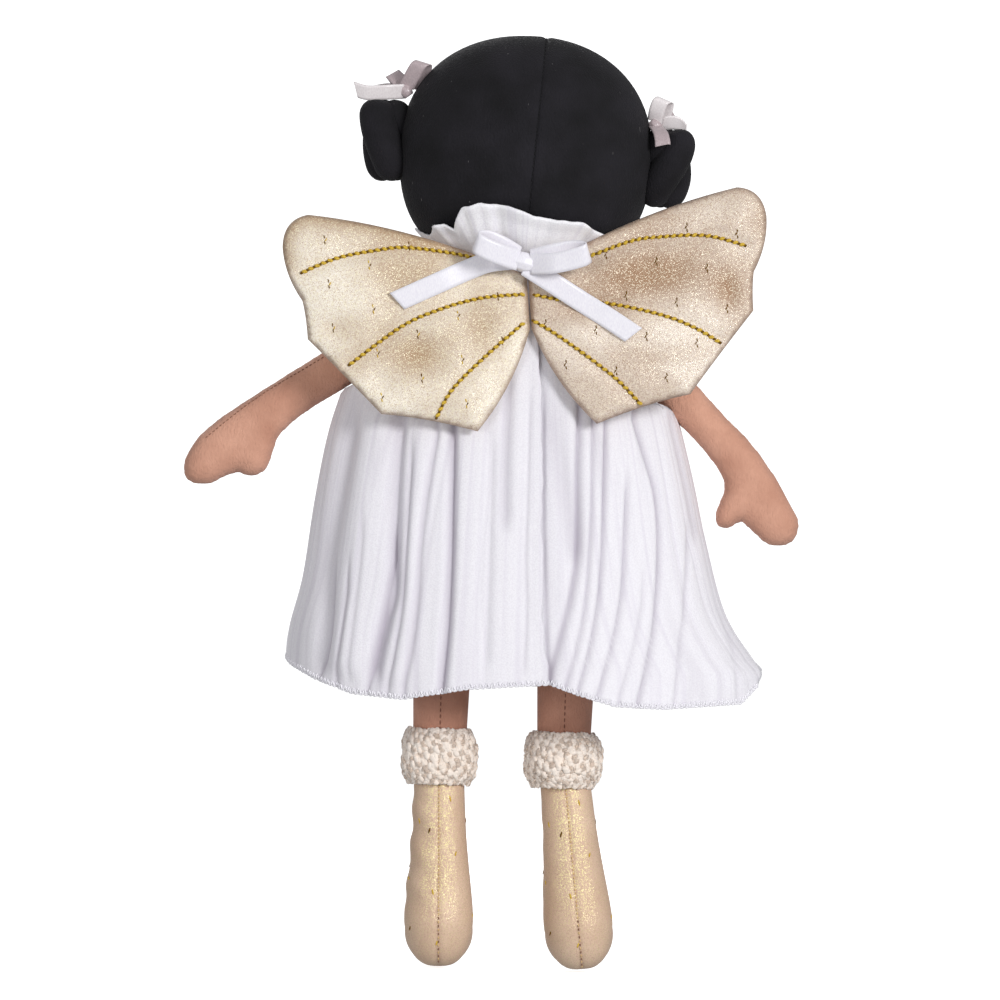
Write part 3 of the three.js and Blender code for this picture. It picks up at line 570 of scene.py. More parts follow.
# %% Rows of beads
def bead_form(sides=8, rings=4):
    points = [Vector((-1, 0, 0))]
    for r in range(1, rings):
        turn = math.pi * r / rings
        for k in range(sides):
            spin = 2 * math.pi * k / sides
            points.append(Vector((-math.cos(turn), math.sin(turn) * math.cos(spin),
                                  math.sin(turn) * math.sin(spin))))
    points.append(Vector((1, 0, 0)))
    faces = [(0, 1 + (k + 1) % sides, 1 + k) for k in range(sides)] + grid_faces(rings - 1, sides, True, 1)
    last = 1 + (rings - 2) * sides
    faces += [(len(points) - 1, last + k, last + (k + 1) % sides) for k in range(sides)]
    return points, faces


def bead_row(name, beads, finishes, body, slot):
    """One mesh of beads, each (place, along, up, size, finish number), in the doll's millimetres."""
    form, form_faces = bead_form()
    points, faces, picks = [], [], []
    for place, along, up, (length, width, height), number in beads:
        along = along.normalized()
        across = up.cross(along).normalized()
        rise = along.cross(across)
        start = len(points)
        points += [at(*(place + along * p.x * length / 2 + across * p.y * width / 2
                        + rise * p.z * height / 2))
                   for p in form]
        faces += [tuple(start + i for i in face) for face in form_faces]
        picks += [number] * len(form_faces)
    return add_piece(name, points, faces, finishes[0], body, slot, finishes=finishes[1:], picks=picks)


def walk(points, step):
    """Places at even steps along a line of points, with the direction there."""
    points = [Vector(p) for p in points]
    found, carried = [], step / 2
    for a, b in zip(points, points[1:]):
        length = (b - a).length
        while carried <= length and length > 0:
            found.append((a + (b - a) * (carried / length), (b - a).normalized()))
            carried += step
        carried -= length
    return found


seam_line = head_points([head_direction(fall, 0) for fall in np.linspace(0.06, 2.3, 60)], -0.15)
hair_stitches = [(place, along, Vector((0, 1, 0.2)), (1.7, 0.55, 0.5), 0)
                 for place, along in walk(seam_line, 2.5)]
bead_row("hair_seam_stitches", hair_stitches, [dark_thread], "head", "hair")
print("hair stitches:", len(hair_stitches))

# %% [markdown]
# ## Buns
# Each bun is a stuffed tube, doubled and twisted on itself. Two strands that wind round each other give
# the deep groove and the lobes that show at its end.


# %% Twisted buns
def tube(path, radii, sides=18):
    """Rings round a path; each frame is carried on from the last so that the tube doesn't twist."""
    path = [Vector(p) for p in path]
    rings, across = [], None
    for i, place in enumerate(path):
        along = (path[min(i + 1, len(path) - 1)] - path[max(i - 1, 0)]).normalized()
        if across is None:
            across = Vector((0.3, 1, 0.2)).cross(along)
        else:
            across = across - along * across.dot(along)
        across.normalize()
        rise = along.cross(across)
        rings.append([at(*(place + (across * math.cos(t) + rise * math.sin(t)) * radii[i]))
                      for t in (2 * math.pi * k / sides for k in range(sides))])
    return ring_stack(rings)


BUNS = {"left": (53.4, 309.6, 15.0, [(0.5, 1.5, 7.6), (2.7, 1.3, 6.8), (4.7, 1.4, 6.8)]),
        "right": (-54.0, 302.2, 14.4, [(1.0, -2.8, 7.1), (3.1, -2.8, 7.1), (5.2, -2.6, 6.6)])}
for name, (out, middle, half, strands) in BUNS.items():
    points, faces = [], []
    for first, twist, thick in strands:
        shares = np.linspace(0, 1, 30)
        path, radii = [], []
        for s in shares:
            spin = first + twist * s
            pull = 0.5 + 0.5 * math.sin(math.pi * s)
            inward = -SIDES[name] * 3.6 * s * s
            path.append((out + inward + 4.6 * math.cos(spin) * pull, 5.6 * math.sin(spin) * pull,
                         middle + half * (1 - 2 * s)))
            end = max(0, abs(2 * s - 1) - 0.6) / 0.41
            radii.append(thick * (1 - 0.18 * s) * math.sqrt(max(0.01, 1 - end * end)))
        more, more_faces = tube(path, radii)
        faces += [tuple(len(points) + i for i in face) for face in more_faces]
        points += more
    made = soften(add_piece(f"{name}_bun_twist", points, faces, hair_cloth, "head", "hair",
                            [f"{name}_bun"]))
    print(made.name, len(points), "points")

# %% [markdown]
# ## Face
# The face looks away from the camera. It is plain embroidery: two oval eyes, brows, a small smile and
# soft round cheeks, each a low pad of thread on the skin.

# %% Embroidered face
pink_thread = thread("pink_thread", from_photo(206, 118, 106), from_photo(184, 98, 88), 0.7)
blush_thread = thread("blush_thread", from_photo(218, 152, 134), from_photo(204, 138, 120), 0.8)


def on_face(x, z, lift):
    middle = (SEAM_TOP + SEAM_BOTTOM) / 2
    guess = Vector((x - middle.x, -30, z - middle.z)).normalized()
    for _ in range(6):
        reached = Vector(head_points([guess], -1.7 + lift)[0])
        guess = (guess * 30 + Vector((x - reached.x, 0, z - reached.z))).normalized()
    return reached


face_beads = []
for side in SIDES.values():
    eye = on_face(16 * side, 300, 0.1)
    outward = (eye - Vector((0, 0, 303))).normalized()
    face_beads.append((eye, Vector((0, 0, 1)), outward, (7.4, 5.2, 1.6), 0))
    face_beads.append((eye + outward * 0.75 + Vector((0.8, 0, 1.6)), Vector((0, 0, 1)), outward,
                       (1.5, 1.3, 0.6), 1))
    cheek = on_face(23 * side, 289, -0.1)
    face_beads.append((cheek, Vector((0, 0, 1)), (cheek - Vector((0, 0, 303))).normalized(),
                       (7.6, 8.4, 1.7), 3))
    brow = [on_face(side * x, 308.5 + 1.6 * math.sin((x - 10) / 12 * math.pi), 0.1)
            for x in np.linspace(10, 22, 13)]
    face_beads += [(p, d, Vector((0, -1, 0)), (2.0, 0.8, 0.7), 0) for p, d in walk(brow, 1.5)]
smile = [on_face(x, 283.5 + 0.028 * x * x, 0.1) for x in np.linspace(-8, 8, 21)]
face_beads += [(p, d, Vector((0, -1, 0)), (2.0, 0.9, 0.8), 2) for p, d in walk(smile, 1.5)]
bead_row("embroidered_face", face_beads, [dark_thread, white_thread, pink_thread, blush_thread], "head",
         "skin")
print("face stitches:", len(face_beads))

# %% [markdown]
# ## Body under the dress
# The torso, neck, shoulder flaps and hip flap hardly show, but the doll is turned about and its dress
# lifts when it sits. They are stuffed or flat sewn forms in the same jersey.


# %% Torso, neck and flaps
def level_ring(x, y, z, half_width, half_depth, count=28):
    return [at(x + half_width * math.cos(t), y + half_depth * math.sin(t), z)
            for t in (2 * math.pi * k / count for k in range(count))]


def stuffed_column(x, y, sections, steps=6):
    """Rings through (height, half width, half depth) sections, rounded between them."""
    return [level_ring(x, y, *s) for s in smooth_curve(sections, steps)]


torso_rings = stuffed_column(0, 0, [(152, 24, 7.2), (157, 30, 16.2), (172, 31.2, 20.2), (199, 26.3, 18.2),
                                    (234, 27.2, 16.2), (246, 28.1, 13.1), (252, 23.2, 12.2),
                                    (256.5, 12.1, 12.1)])
add_piece("stuffed_torso", *ring_stack(torso_rings), skin_cloth, "torso", "skin", ["torso"])
neck_rings = stuffed_column(0, 0, [(256.7, 12, 12), (261.5, 11.2, 11.2), (268, 12.5, 12.5)])
add_piece("stuffed_neck", *ring_stack(neck_rings), skin_cloth, "neck", "skin", ["neck"])


def flat_pad(low, high, swell):
    """Thin sewn flap in the XZ plane, a little fuller in its middle."""
    points, faces = [], []
    for way in (1, -1):
        start = len(points)
        for r in range(7):
            for k in range(9):
                u, v = k / 8, r / 6
                rise = 1 + swell * math.sin(math.pi * u) * math.sin(math.pi * v)
                points.append(at(low[0] + (high[0] - low[0]) * u, way * 0.75 * rise,
                                 low[1] + (high[1] - low[1]) * v))
        faces += grid_faces(7, 9, False, start)
    edge = [*range(9), *range(17, 63, 9), *range(61, 53, -1), *range(45, 0, -9)]
    faces += [(a, b, b + 63, a + 63) for a, b in zip(edge, edge[1:] + edge[:1])]
    return points, faces


soften(add_piece("hip_seam_flap", *flat_pad((-30.2, 144.7), (33.8, 151.7), 0.9), skin_cloth, "hips", "skin",
                 ["hip_flap"]))
for name, side in SIDES.items():
    low, high = ((28.3, 240.0), (37.3, 252.0)) if side > 0 else ((-37.3, 240.0), (-28.3, 252.0))
    soften(add_piece(f"{name}_shoulder_seam_flap", *flat_pad(low, high, 0.9), skin_cloth,
                     f"{name}_shoulder", "skin",
                     [f"{name}_shoulder_flap"]))
print("torso rings:", len(torso_rings))

# %% [markdown]
# ## Shapes cut flat and filled
# The arms and the wings are cut from two flat layers, sewn round the edge and filled. The outline is
# filled with points, triangles join them, and each point is lifted by its distance from the seam: that is
# what filling does.


# %% Filled flat shapes
def line_distance(points, line):
    """How far each point is from an open line."""
    points, a, b = (np.asarray(p, float) for p in (points, line[:-1], line[1:]))
    along = b - a
    share = np.einsum("pkd,kd->pk", points[:, None] - a[None], along)
    share = share / np.maximum((along ** 2).sum(1), 1e-9)
    nearest = a[None] + np.clip(share, 0, 1)[..., None] * along[None]
    return np.sqrt(((points[:, None] - nearest) ** 2).sum(2)).min(1)


def seam_distance(points, outline):
    """How far each point is from the closed seam round a flat shape."""
    return line_distance(points, [*outline, outline[0]])


def inside_outline(points, outline):
    points, a = np.asarray(points, float), np.asarray(outline, float)
    b = np.roll(a, -1, axis=0)
    crosses = (a[None, :, 1] > points[:, None, 1]) != (b[None, :, 1] > points[:, None, 1])
    rise = np.where(b[:, 1] == a[:, 1], 1e-9, b[:, 1] - a[:, 1])
    cut = a[None, :, 0] + (points[:, None, 1] - a[None, :, 1]) * ((b - a)[:, 0] / rise)[None]
    return (crosses & (points[:, None, 0] < cut)).sum(1) % 2 == 1


def fill_flat(outline, spacing):
    """Points and triangles inside a flat outline; the outline's own points come first."""
    outline = np.asarray(outline, float)
    low, high = outline.min(0), outline.max(0)
    grid = [(x + (spacing / 2 if row % 2 else 0), y)
            for row, y in enumerate(np.arange(low[1], high[1], spacing * 0.866))
            for x in np.arange(low[0], high[0], spacing)]
    grid = np.array(grid)
    grid = grid[inside_outline(grid, outline)]
    grid = grid[seam_distance(grid, outline) > spacing * 0.55]
    points = np.vstack([outline, grid])
    result = delaunay_2d_cdt([Vector(p) for p in points], [], [list(range(len(outline)))], 1, 1e-6)
    return np.array([tuple(p) for p in result[0]]), [tuple(f) for f in result[2]]


def two_layers(flat, faces, outline, lifts):
    """Join a back and a front layer at the seam; lifts gives each layer's height at every point."""
    count = len(flat)
    edge = seam_distance(flat, outline) < 1e-4
    other = np.where(edge, np.arange(count), -1)
    other[~edge] = count + np.arange((~edge).sum())
    back, front = lifts
    spots = [(*flat[i], back[i]) for i in range(count)]
    spots += [(*flat[i], front[i]) for i in range(count) if not edge[i]]
    return spots, faces + [tuple(int(other[i]) for i in face[::-1]) for face in faces]


print("flat shapes can be filled")

# %% [markdown]
# ## Arms
# An arm and its mitten are one outline, with the thumb below. The outlines differ because the two arms
# are posed differently. A full limb is as deep as it is wide, so the lift is that of a circle.

# %% Arms with mitten hands
ARM_OUTLINES = {
    "left": [(37.5, 249.0), (58, 239.0), (76, 228), (97.6, 213.5), (113.7, 202), (121.6, 193.5),
             (125.0, 185),
             (122.6, 179), (115, 178.3), (108.5, 181.4), (104.5, 182.6), (99, 181.6), (94, 184),
             (91.6, 189.5),
             (89, 197), (81, 205), (67, 214.5), (48, 226.5), (34.5, 236.5), (33.5, 244)],
    "right": [(-39.5, 247.5), (-52, 236.5), (-67.6, 221), (-77.7, 210.4), (-87.5, 201), (-96.2, 190),
              (-103.4, 178),
              (-107.2, 170.5), (-105.2, 164), (-101.0, 161.8), (-95, 162.3), (-89, 167), (-85, 170),
              (-80, 167.4),
              (-76, 169), (-75.4, 174.5), (-78, 181.5), (-76.6, 188), (-68, 199), (-54, 212), (-40, 225.5),
              (-31.5, 236.5), (-33, 244)],
}
ARM_SEAMS = {"left": [(117, 195.4), (109, 202.4), (100.5, 209.4), (91, 216.2), (82, 221.8), (70, 229.6)],
             "right": [(-99, 182.4), (-92, 193), (-84, 202), (-74, 212), (-64, 222)]}
SEAM_WAY = {"left": 1, "right": -1}
ARM_FULLNESS, ARM_ROUNDING = 7.1, 8.2
for name in SIDES:
    outline = [(p.x, p.y) for p in smooth_curve([(x, z, 0) for x, z in ARM_OUTLINES[name]], 7, True)]
    flat, faces = fill_flat(outline, 1.5)
    rest = np.clip(seam_distance(flat, outline) / ARM_ROUNDING, 0, 1)
    shoulder = np.array(outline[0])
    thin = np.clip(np.hypot(*(flat - shoulder).T) / 34, 0.28, 1)
    lift = ARM_FULLNESS * thin * np.sqrt(np.clip(1 - (1 - rest) ** 2, 0, 1))
    spots, faces = two_layers(flat, faces, outline, (lift, -lift))
    made = soften(add_piece(f"{name}_stuffed_arm", [at(x, y, z) for x, z, y in spots], faces, skin_cloth,
                            f"{name}_arm", "skin", [f"{name}_arm"]))
    seam = np.array([(p.x, p.y) for p in smooth_curve([(x, z, 0) for x, z in ARM_SEAMS[name]], 12)])
    rest = np.clip(seam_distance(seam, outline) / ARM_ROUNDING, 0, 1)
    heights = SEAM_WAY[name] * (ARM_FULLNESS * np.sqrt(np.clip(1 - (1 - rest) ** 2, 0, 1)) - 0.1)
    line = [(x, y, z) for (x, z), y in zip(seam, heights)]
    stitches = [(p, d, Vector((0, SEAM_WAY[name], 0.3)), (1.2, 0.5, 0.45), 0) for p, d in walk(line, 1.7)]
    bead_row(f"{name}_arm_seam", stitches, [brown_thread], f"{name}_arm", "skin")
    print(made.name, len(spots), "points")

# %% [markdown]
# ## Wings
# A wing is two layers of sparkle cloth over thin wadding. The rope-stitched veins pull the cloth down,
# and between them it stands up in soft dimples. The outline has the same curves as the solid in the
# frame.

# %% Wing outline and veins
WING_SPAN, WING_RISE, WING_DROP = 90.4, 28, 57
WING_HINGE, WING_TOP, WING_STAND_OFF, WING_LEAN = -2, 260, 28, 0.1
WING_TILT = {"left": -5.5, "right": 5.5}
WING_CURVES = [((0.44, 0.75), (0.885, 1.0)), ((0.99, 0.965), (1.0, 0.59)), ((1.0, 0.215), (0.9325, -0.07)),
               ((0.92, -0.175), (0.92, -0.325)), ((0.796, -0.544), (0.636, -0.846)),
               ((0.4535, -0.886), (0.2434, -1.0)), ((0.0774, -0.72), (0.0, -0.35)),
               ((0.0, -0.17), (0.0, 0.0))]


def wing_spot(u, v):
    return (u * WING_SPAN, v * (WING_RISE if v > 0 else WING_DROP))


wing_outline, start = [], (0, 0)
for bend, end in WING_CURVES:
    a, b, c = (np.array(wing_spot(*p)) for p in (start, bend, end))
    wing_outline += [tuple((1 - t) ** 2 * a + 2 * t * (1 - t) * b + t * t * c)
                     for t in np.linspace(0, 1, 15)[:-1]]
    start = end

VEINS = {
    "left": [[(83, 258), (70, 264), (55, 267.6), (42, 269), (18, 266), (2, 260)],
             [(64, 224), (45, 239), (31, 246), (15, 251), (-1.5, 253)],
             [(30.6, 205), (25, 216), (14, 228), (-1.5, 242.5)]],
    "right": [[(-5, 260.5), (-25, 268), (-40, 274), (-51, 276), (-68.5, 277), (-84, 273.5)],
              [(-4, 253), (-17, 251), (-32.5, 250.5), (-52, 247), (-65, 242.5), (-75, 237)],
              [(-4, 243.5), (-13, 238.6), (-28, 228.6), (-38, 221), (-46, 213)]],
}


def to_wing(name, x, z):
    """Doll's X and Z to the wing's own out and up."""
    side, tilt = SIDES[name], math.radians(WING_TILT[name])
    u, v = side * (x - WING_HINGE) - 0.3, z - WING_TOP
    return (u * math.cos(tilt) + v * math.sin(tilt), v * math.cos(tilt) - u * math.sin(tilt))


def from_wing(name, u, v, depth):
    side, tilt = SIDES[name], math.radians(WING_TILT[name])
    out, up = u * math.cos(tilt) - v * math.sin(tilt), u * math.sin(tilt) + v * math.cos(tilt)
    return Vector((WING_HINGE + side * (out + 0.3), WING_STAND_OFF - up * WING_LEAN + depth, WING_TOP + up))


WING_EDGE, WING_CROWN = 0.9, 3.0
DIPS = {
    "left": [(50, 249.5, 6, 9, 0.6), (38, 259, 12, 9, 0.7), (42, 229, 15, 11, 1.4),
             (69.5, 237.6, 7, 5, 0.9), (52.7, 216.3, 7, 5, 0.8),
             (15, 237.4, 6, 10, 0.9)],
    "right": [(-46, 263, 28, 11, 1.4), (-77.5, 255.3, 5, 6, 1.6), (-80.7, 271.6, 4, 4, 0.9),
              (-21, 246.5, 14, 5, 1.1),
              (-30, 238.5, 8, 4, 0.6)],
}


# Patches of painted shade on the wings, in the hollows and below the bow's tails: x, height, half width, half
# height, strength.
SHADE_PATCHES = {
    "left": [(40, 259, 17, 10, 0.7), (38, 229, 15, 11, 0.85), (14, 239, 8, 13, 0.5), (68, 238, 8, 5, 0.35)],
    "right": [(-47, 262, 32, 13, 0.95), (-78, 256, 7, 9, 0.65), (-22, 247, 16, 6, 0.5),
              (-56, 232, 17, 4, 0.35)],
}


def wing_dips(name, flat, places=DIPS):
    """Soft hollows of the cloth, in millimetres, at places of the wing; from the table of shade patches, the
    strength of painted shade there.
    """
    deep = np.zeros(len(flat))
    for x, z, half_width, half_height, depth in places[name]:
        u, v = to_wing(name, x, z)
        aside, above = (flat[:, 0] - u) / half_width, (flat[:, 1] - v) / half_height
        deep += depth * np.exp(-aside ** 2 - above ** 2)
    return deep


vein_lines = {name: [[to_wing(name, p.x, p.y) for p in smooth_curve([(x, z, 0) for x, z in vein], 12)]
                     for vein in VEINS[name]] for name in SIDES}


def wing_lift(name, flat):
    """Height of the wing's back layer: full between the veins, drawn down along them."""
    flat = np.asarray(flat, float)
    edge = seam_distance(flat, wing_outline)
    puff = WING_EDGE * np.clip(edge / 0.8, 0, 1) ** 0.5 + WING_CROWN * (1 - np.exp(-edge / 7))
    for line in vein_lines[name]:
        puff = puff - 1.0 * np.exp(-(line_distance(flat, line) / 3.2) ** 2) * np.clip(edge / 4, 0, 1)
    ripple = np.array([noise.noise(Vector((u / 21 + 7 * SIDES[name], v / 25, 0.4)))
                       + 0.45 * noise.noise(Vector((u / 9, v / 11, 2.5 + SIDES[name]))) for u, v in flat])
    return puff + (0.8 * ripple - wing_dips(name, flat)) * np.clip(edge / 8, 0, 1)


print("wing outline points:", len(wing_outline), "veins:", sum(len(v) for v in vein_lines.values()))

# %% Wings, veins and flecks
KNOT, KNOT_ROOM = Vector((-0.2, 33.6, 265.0)), 11
VEIN_STEP, VEIN_STITCH, VEIN_GAP = 1.3, (2.3, 1.45, 1.25), (1.3, 1.1, 0.9)
FLECKS = {"left": ((57.0, 262.0), (14.8, -7.5), (16.9, 8.9)),
          "right": ((-31.0, 268.5), (-18.9, -1.8), (10.9, -13.2))}
for name, side in SIDES.items():
    flat, faces = fill_flat(wing_outline, 1.6)
    edge = seam_distance(flat, wing_outline)
    back = wing_lift(name, flat)
    front = -(WING_EDGE * np.clip(edge / 0.8, 0, 1) ** 0.5 + 2.2 * (1 - np.exp(-edge / 7)))
    spots, faces = two_layers(flat, faces, wing_outline, (back, front))
    made = add_piece(f"{name}_padded_wing", [at(*from_wing(name, *s)) for s in spots], faces,
                     wing_cloths[name],
                     f"{name}_wing", "sparkle",
                     [f"{name}_wing_back_cover", f"{name}_wing_wadding", f"{name}_wing_front_cover"])
    # Painted shade along the sewn edge, where the two layers meet in a crease.
    seam_shade = made.data.attributes.new("seam_shade", "FLOAT", "POINT")
    near = seam_distance([s[:2] for s in spots], wing_outline)
    seam_shade.data.foreach_set("value", (0.6 * np.exp(-(near / 0.9) ** 2)).astype(np.float32))
    # Painted shade in the hollows, below the bow's tails and along the upper edge, stronger on the left wing.
    painted_shade = made.data.attributes.new("painted_shade", "FLOAT", "POINT")
    places = np.array([s[:2] for s in spots])
    upper_edge_shade = np.array([smooth_step(v, 0, 14) for v in places[:, 1]]) * np.exp(-(near / 6) ** 2)
    shade = np.clip(wing_dips(name, places, SHADE_PATCHES) + (0.7 if side > 0 else 0.3) * upper_edge_shade, 0, 0.9)
    painted_shade.data.foreach_set("value", shade.astype(np.float32))
    # Even share of grains painted as bright glints.
    glitter_glint = made.data.attributes.new("glitter_glint", "FLOAT", "POINT")
    glitter_glint.data.foreach_set("value", np.full(len(places), 0.4, np.float32))
    beads = []
    for line in vein_lines[name]:
        stops = walk([(u, v, 0) for u, v in line], VEIN_STEP)
        heights = wing_lift(name, [p[:2] for p, _ in stops])
        for number, ((p, d), height) in enumerate(zip(stops, heights)):
            place = from_wing(name, p.x, p.y, height + 0.35)
            ahead = from_wing(name, p.x + d.x, p.y + d.y, height + 0.35) - place
            slant = ahead + 0.55 * ahead.cross(Vector((0, 1, 0))) * side
            size = VEIN_STITCH if number % 2 else VEIN_GAP
            if (place - KNOT).length > KNOT_ROOM:
                beads.append((place, slant, Vector((0, 1, 0)), size, (number + 1) % 2))
    bead_row(f"{name}_wing_veins", beads, [gold_thread, bronze_thread], f"{name}_wing", "sparkle")
    flecks = []
    base, first, second = FLECKS[name]
    for i in range(-9, 10):
        for j in range(-9, 10):
            x = base[0] + i * first[0] + j * second[0]
            z = base[1] + i * first[1] + j * second[1]
            u, v = to_wing(name, x, z)
            within = inside_outline([(u, v)], wing_outline)[0]
            if not within or seam_distance([(u, v)], wing_outline)[0] < 3:
                continue
            for bit, (du, dv, lean) in enumerate(((0.35, 1.15, 0.25), (-0.2, 0.0, -0.5),
                                                  (0.25, -1.15, 0.25))):
                height = wing_lift(name, [(u + du, v + dv)])[0]
                place = from_wing(name, u + du, v + dv, height + 0.05)
                flecks.append((place, Vector((lean, 0, 1)), Vector((0, 1, 0)), (1.5, 0.5, 0.3),
                               (i + j + bit) % 2))
    tones = [gold_thread, bronze_thread] if side > 0 else [bronze_thread, bronze_thread]
    bead_row(f"{name}_wing_flecks", flecks, tones, f"{name}_wing", "sparkle")
    print(made.name, len(spots), "points,", len(beads), "vein stitches,", len(flecks), "fleck threads")

# %% [markdown]
# ## Dress
# The dress is one gathered sheet of gauze: it starts at the back opening, goes round the doll and ends
# tucked under its own start. Gathers at the neck open into folds towards the hem. Folds of several widths
# that fade in and out look more like cloth than one even wave. The long creases in the back are lines of
# depth with painted shade along them, and the narrow hollows between the folds get painted shade too.

# %% Dress form
NECKLINE, ARMHOLE_OPENING = 258, math.radians(42)
ARMHOLES = {"left": (212.5, 11), "right": (208.5, 9)}
BACK_OPENING = math.radians(-8.3)


def smooth_table(rows):
    """Table of (place, size) with rounded steps between its rows."""
    return [(p.x, p.y) for p in smooth_curve([(a, b, 0) for a, b in rows], 8)]


WIDTH_LEFT = smooth_table([(95, 83.5), (113, 84), (126, 83), (145, 78.5), (172, 75), (196, 71), (211, 67),
                           (219, 63.5),
                           (232, 52), (247, 35), (258, 15.4)])
WIDTH_RIGHT = smooth_table([(95, 96), (112, 96), (119, 90.5), (136, 79.5), (163, 71.5), (184, 66.5),
                            (206, 60.5), (217, 56),
                            (232, 48), (247, 35), (258, 15.4)])
DEPTH = smooth_table([(95, 53), (126, 46.5), (145, 42), (172, 35.5), (205, 28.6), (232, 26.6), (247, 24),
                      (258, 15.4)])
HEM_LEFT = [(-0.2, 108), (0.19, 105), (0.48, 100.5), (0.7, 102), (0.87, 107), (0.96, 111), (1, 114)]
HEM_RIGHT = [(-1, 116), (-0.965, 109), (-0.9, 102.5), (-0.6, 99.8), (-0.41, 100.3), (-0.27, 104),
             (-0.13, 108.6)]


def hem_height(angle, from_left):
    share = math.sin(angle)
    back = read_off(share, HEM_LEFT if from_left else HEM_RIGHT)
    front = 106 + 9 * abs(share) ** 6
    return back + (front - back) * smooth_step(-math.cos(angle), -0.02, 0.25)


FOLD_RUN = 60
# Long creases in the back: depth, width, strength of painted shade and line of (x, height).
CREASES = [
    (2.2, 3.5, 0.25, [(61.9, 200), (65.6, 174), (68.7, 151), (69.5, 129), (70.5, 114)]),
    (-2.2, 6.0, 0, [(51.5, 203), (55, 174), (57, 151), (60, 114)]),
    (-1.2, 4.0, 0, [(35.5, 195), (38, 160), (38.5, 137), (41, 110)]),
    (2.6, 2.6, 0.45, [(44, 203), (44.9, 182), (44.9, 160), (44.4, 141), (47, 129), (50.6, 112)]),
    (0.8, 0.9, 0.5, [(-10.3, 206), (-11.4, 172), (-13.2, 140), (-15.3, 106)]),
    (1.2, 1.1, 0.55, [(45.4, 152), (48.2, 133), (51.7, 114), (53, 105)]),
    (1.2, 1.2, 0.5, [(30, 199), (32.7, 179), (34.7, 156), (35.2, 137), (36.9, 119), (39.5, 105)]),
    (3.0, 1.8, 0.8, [(24.1, 203), (23.6, 175), (23.3, 153), (23.5, 134), (23.9, 123), (25.2, 105)]),
    (0.8, 1.5, 0.15, [(9, 187), (8.7, 153), (8.7, 119)]),
    (1.3, 2.4, 0.35, [(3.8, 213), (4.1, 198), (4, 183), (3.6, 170)]),
    (0.7, 0.8, 0.35, [(-4.7, 206), (-4.9, 176), (-4.8, 154), (-5.8, 135), (-5.6, 116)]),
    (1.8, 4.0, 0.3, [(-13.4, 203), (-16.5, 188), (-20.4, 171), (-22.7, 159)]),
    (2.0, 1.5, 0.7, [(-23.3, 210), (-23.3, 188), (-24.2, 169), (-24.3, 156), (-21.8, 139), (-18.5, 124),
                     (-15.9, 112)]),
    (1.4, 1.0, 0.5, [(-28.4, 205), (-28.9, 177), (-28.5, 154), (-27.2, 135), (-24.3, 119), (-20.9, 106)]),
    (1.6, 1.0, 0.6, [(-33.2, 205), (-33.4, 177), (-33.3, 154), (-32, 136), (-29.2, 119), (-25.4, 104)]),
    (1.5, 1.0, 0.55, [(-41.7, 175), (-41.4, 147), (-39.7, 132), (-37.1, 119), (-32.6, 102)]),
    (1.6, 1.1, 0.6, [(-43.7, 207), (-48.2, 194), (-52.4, 181), (-54.4, 166), (-54.6, 148), (-53.3, 129),
                     (-50.8, 114),
                     (-48.1, 101)]),
    (0.8, 0.9, 0.3, [(-48.8, 140), (-45.6, 121), (-40.9, 102)]),
    (0.9, 0.9, 0.35, [(-65.1, 159), (-64.7, 137), (-63.3, 122), (-61.9, 101)]),
    (1.0, 1.5, 0.3, [(-57.2, 208), (-63.1, 185), (-67.5, 167)]),
    (0.6, 1.2, 0.15, [(-79, 135), (-84, 120), (-85.5, 105)]),
    (0.8, 1.0, 0.4, [(60.1, 140), (62.4, 120), (64.3, 105)]),
    (0.8, 1.0, 0.45, [(66.8, 140), (67.4, 123), (70.8, 109)]),
    (0.6, 1.0, 0.25, [(55.4, 159), (56.9, 137), (59.2, 112)]),
    (1.0, 1.2, 0.35, [(39, 186), (39.7, 160), (40.4, 137), (42.9, 118), (45.5, 104)]),
]
CREASE_LINES = [(deep, wide, dark, smooth_table([(z, x) for x, z in reversed(line)]))
                for deep, wide, dark, line in CREASES]


def creases(x, height):
    """Depth and painted shade of the long creases in the back of the skirt."""
    sunk, shade = 0, 0
    for deep, wide, dark, line in CREASE_LINES:
        low, high = line[0][0], line[-1][0]
        runs_out = smooth_step(height, low - 9, low) * (1 - smooth_step(height, high, high + 18))
        if runs_out > 0:
            near = math.exp(-((x - read_off(height, line)) / wide) ** 2) * runs_out
            sunk += deep * near
            shade += dark * near
    return sunk, shade


def folds(angle, height):
    """Height of the folds and the painted shade that darkens the narrow hollows between them."""
    loose = min(max((NECKLINE - height) / 150, 0), 1)
    run = FOLD_RUN * angle + 3.5 * noise.noise(Vector((angle * 1.1, height / 70, 0.3)))
    broad = abs(noise.noise(Vector((run / 14, height / 260, 1.7))))
    middle = abs(noise.noise(Vector((run / 6.5, height / 170, 5.2))))
    narrow = noise.noise(Vector((run / 2.9, height / 110, 9.1)))
    fade = 0.5 + 0.5 * noise.noise(Vector((angle * 3, height / 55, 4.4)))
    wide_folds = 4.4 * (broad - 0.2) + 2.0 * (middle - 0.2) * fade
    rise = (0.6 + 0.8 * loose ** 0.7) * wide_folds + 0.5 * narrow * fade
    crease_shade = 0.75 * math.exp(-((broad / 0.055) ** 2)) + 0.5 * math.exp(-((middle / 0.045) ** 2)) * fade
    return rise, min(crease_shade, 0.85)


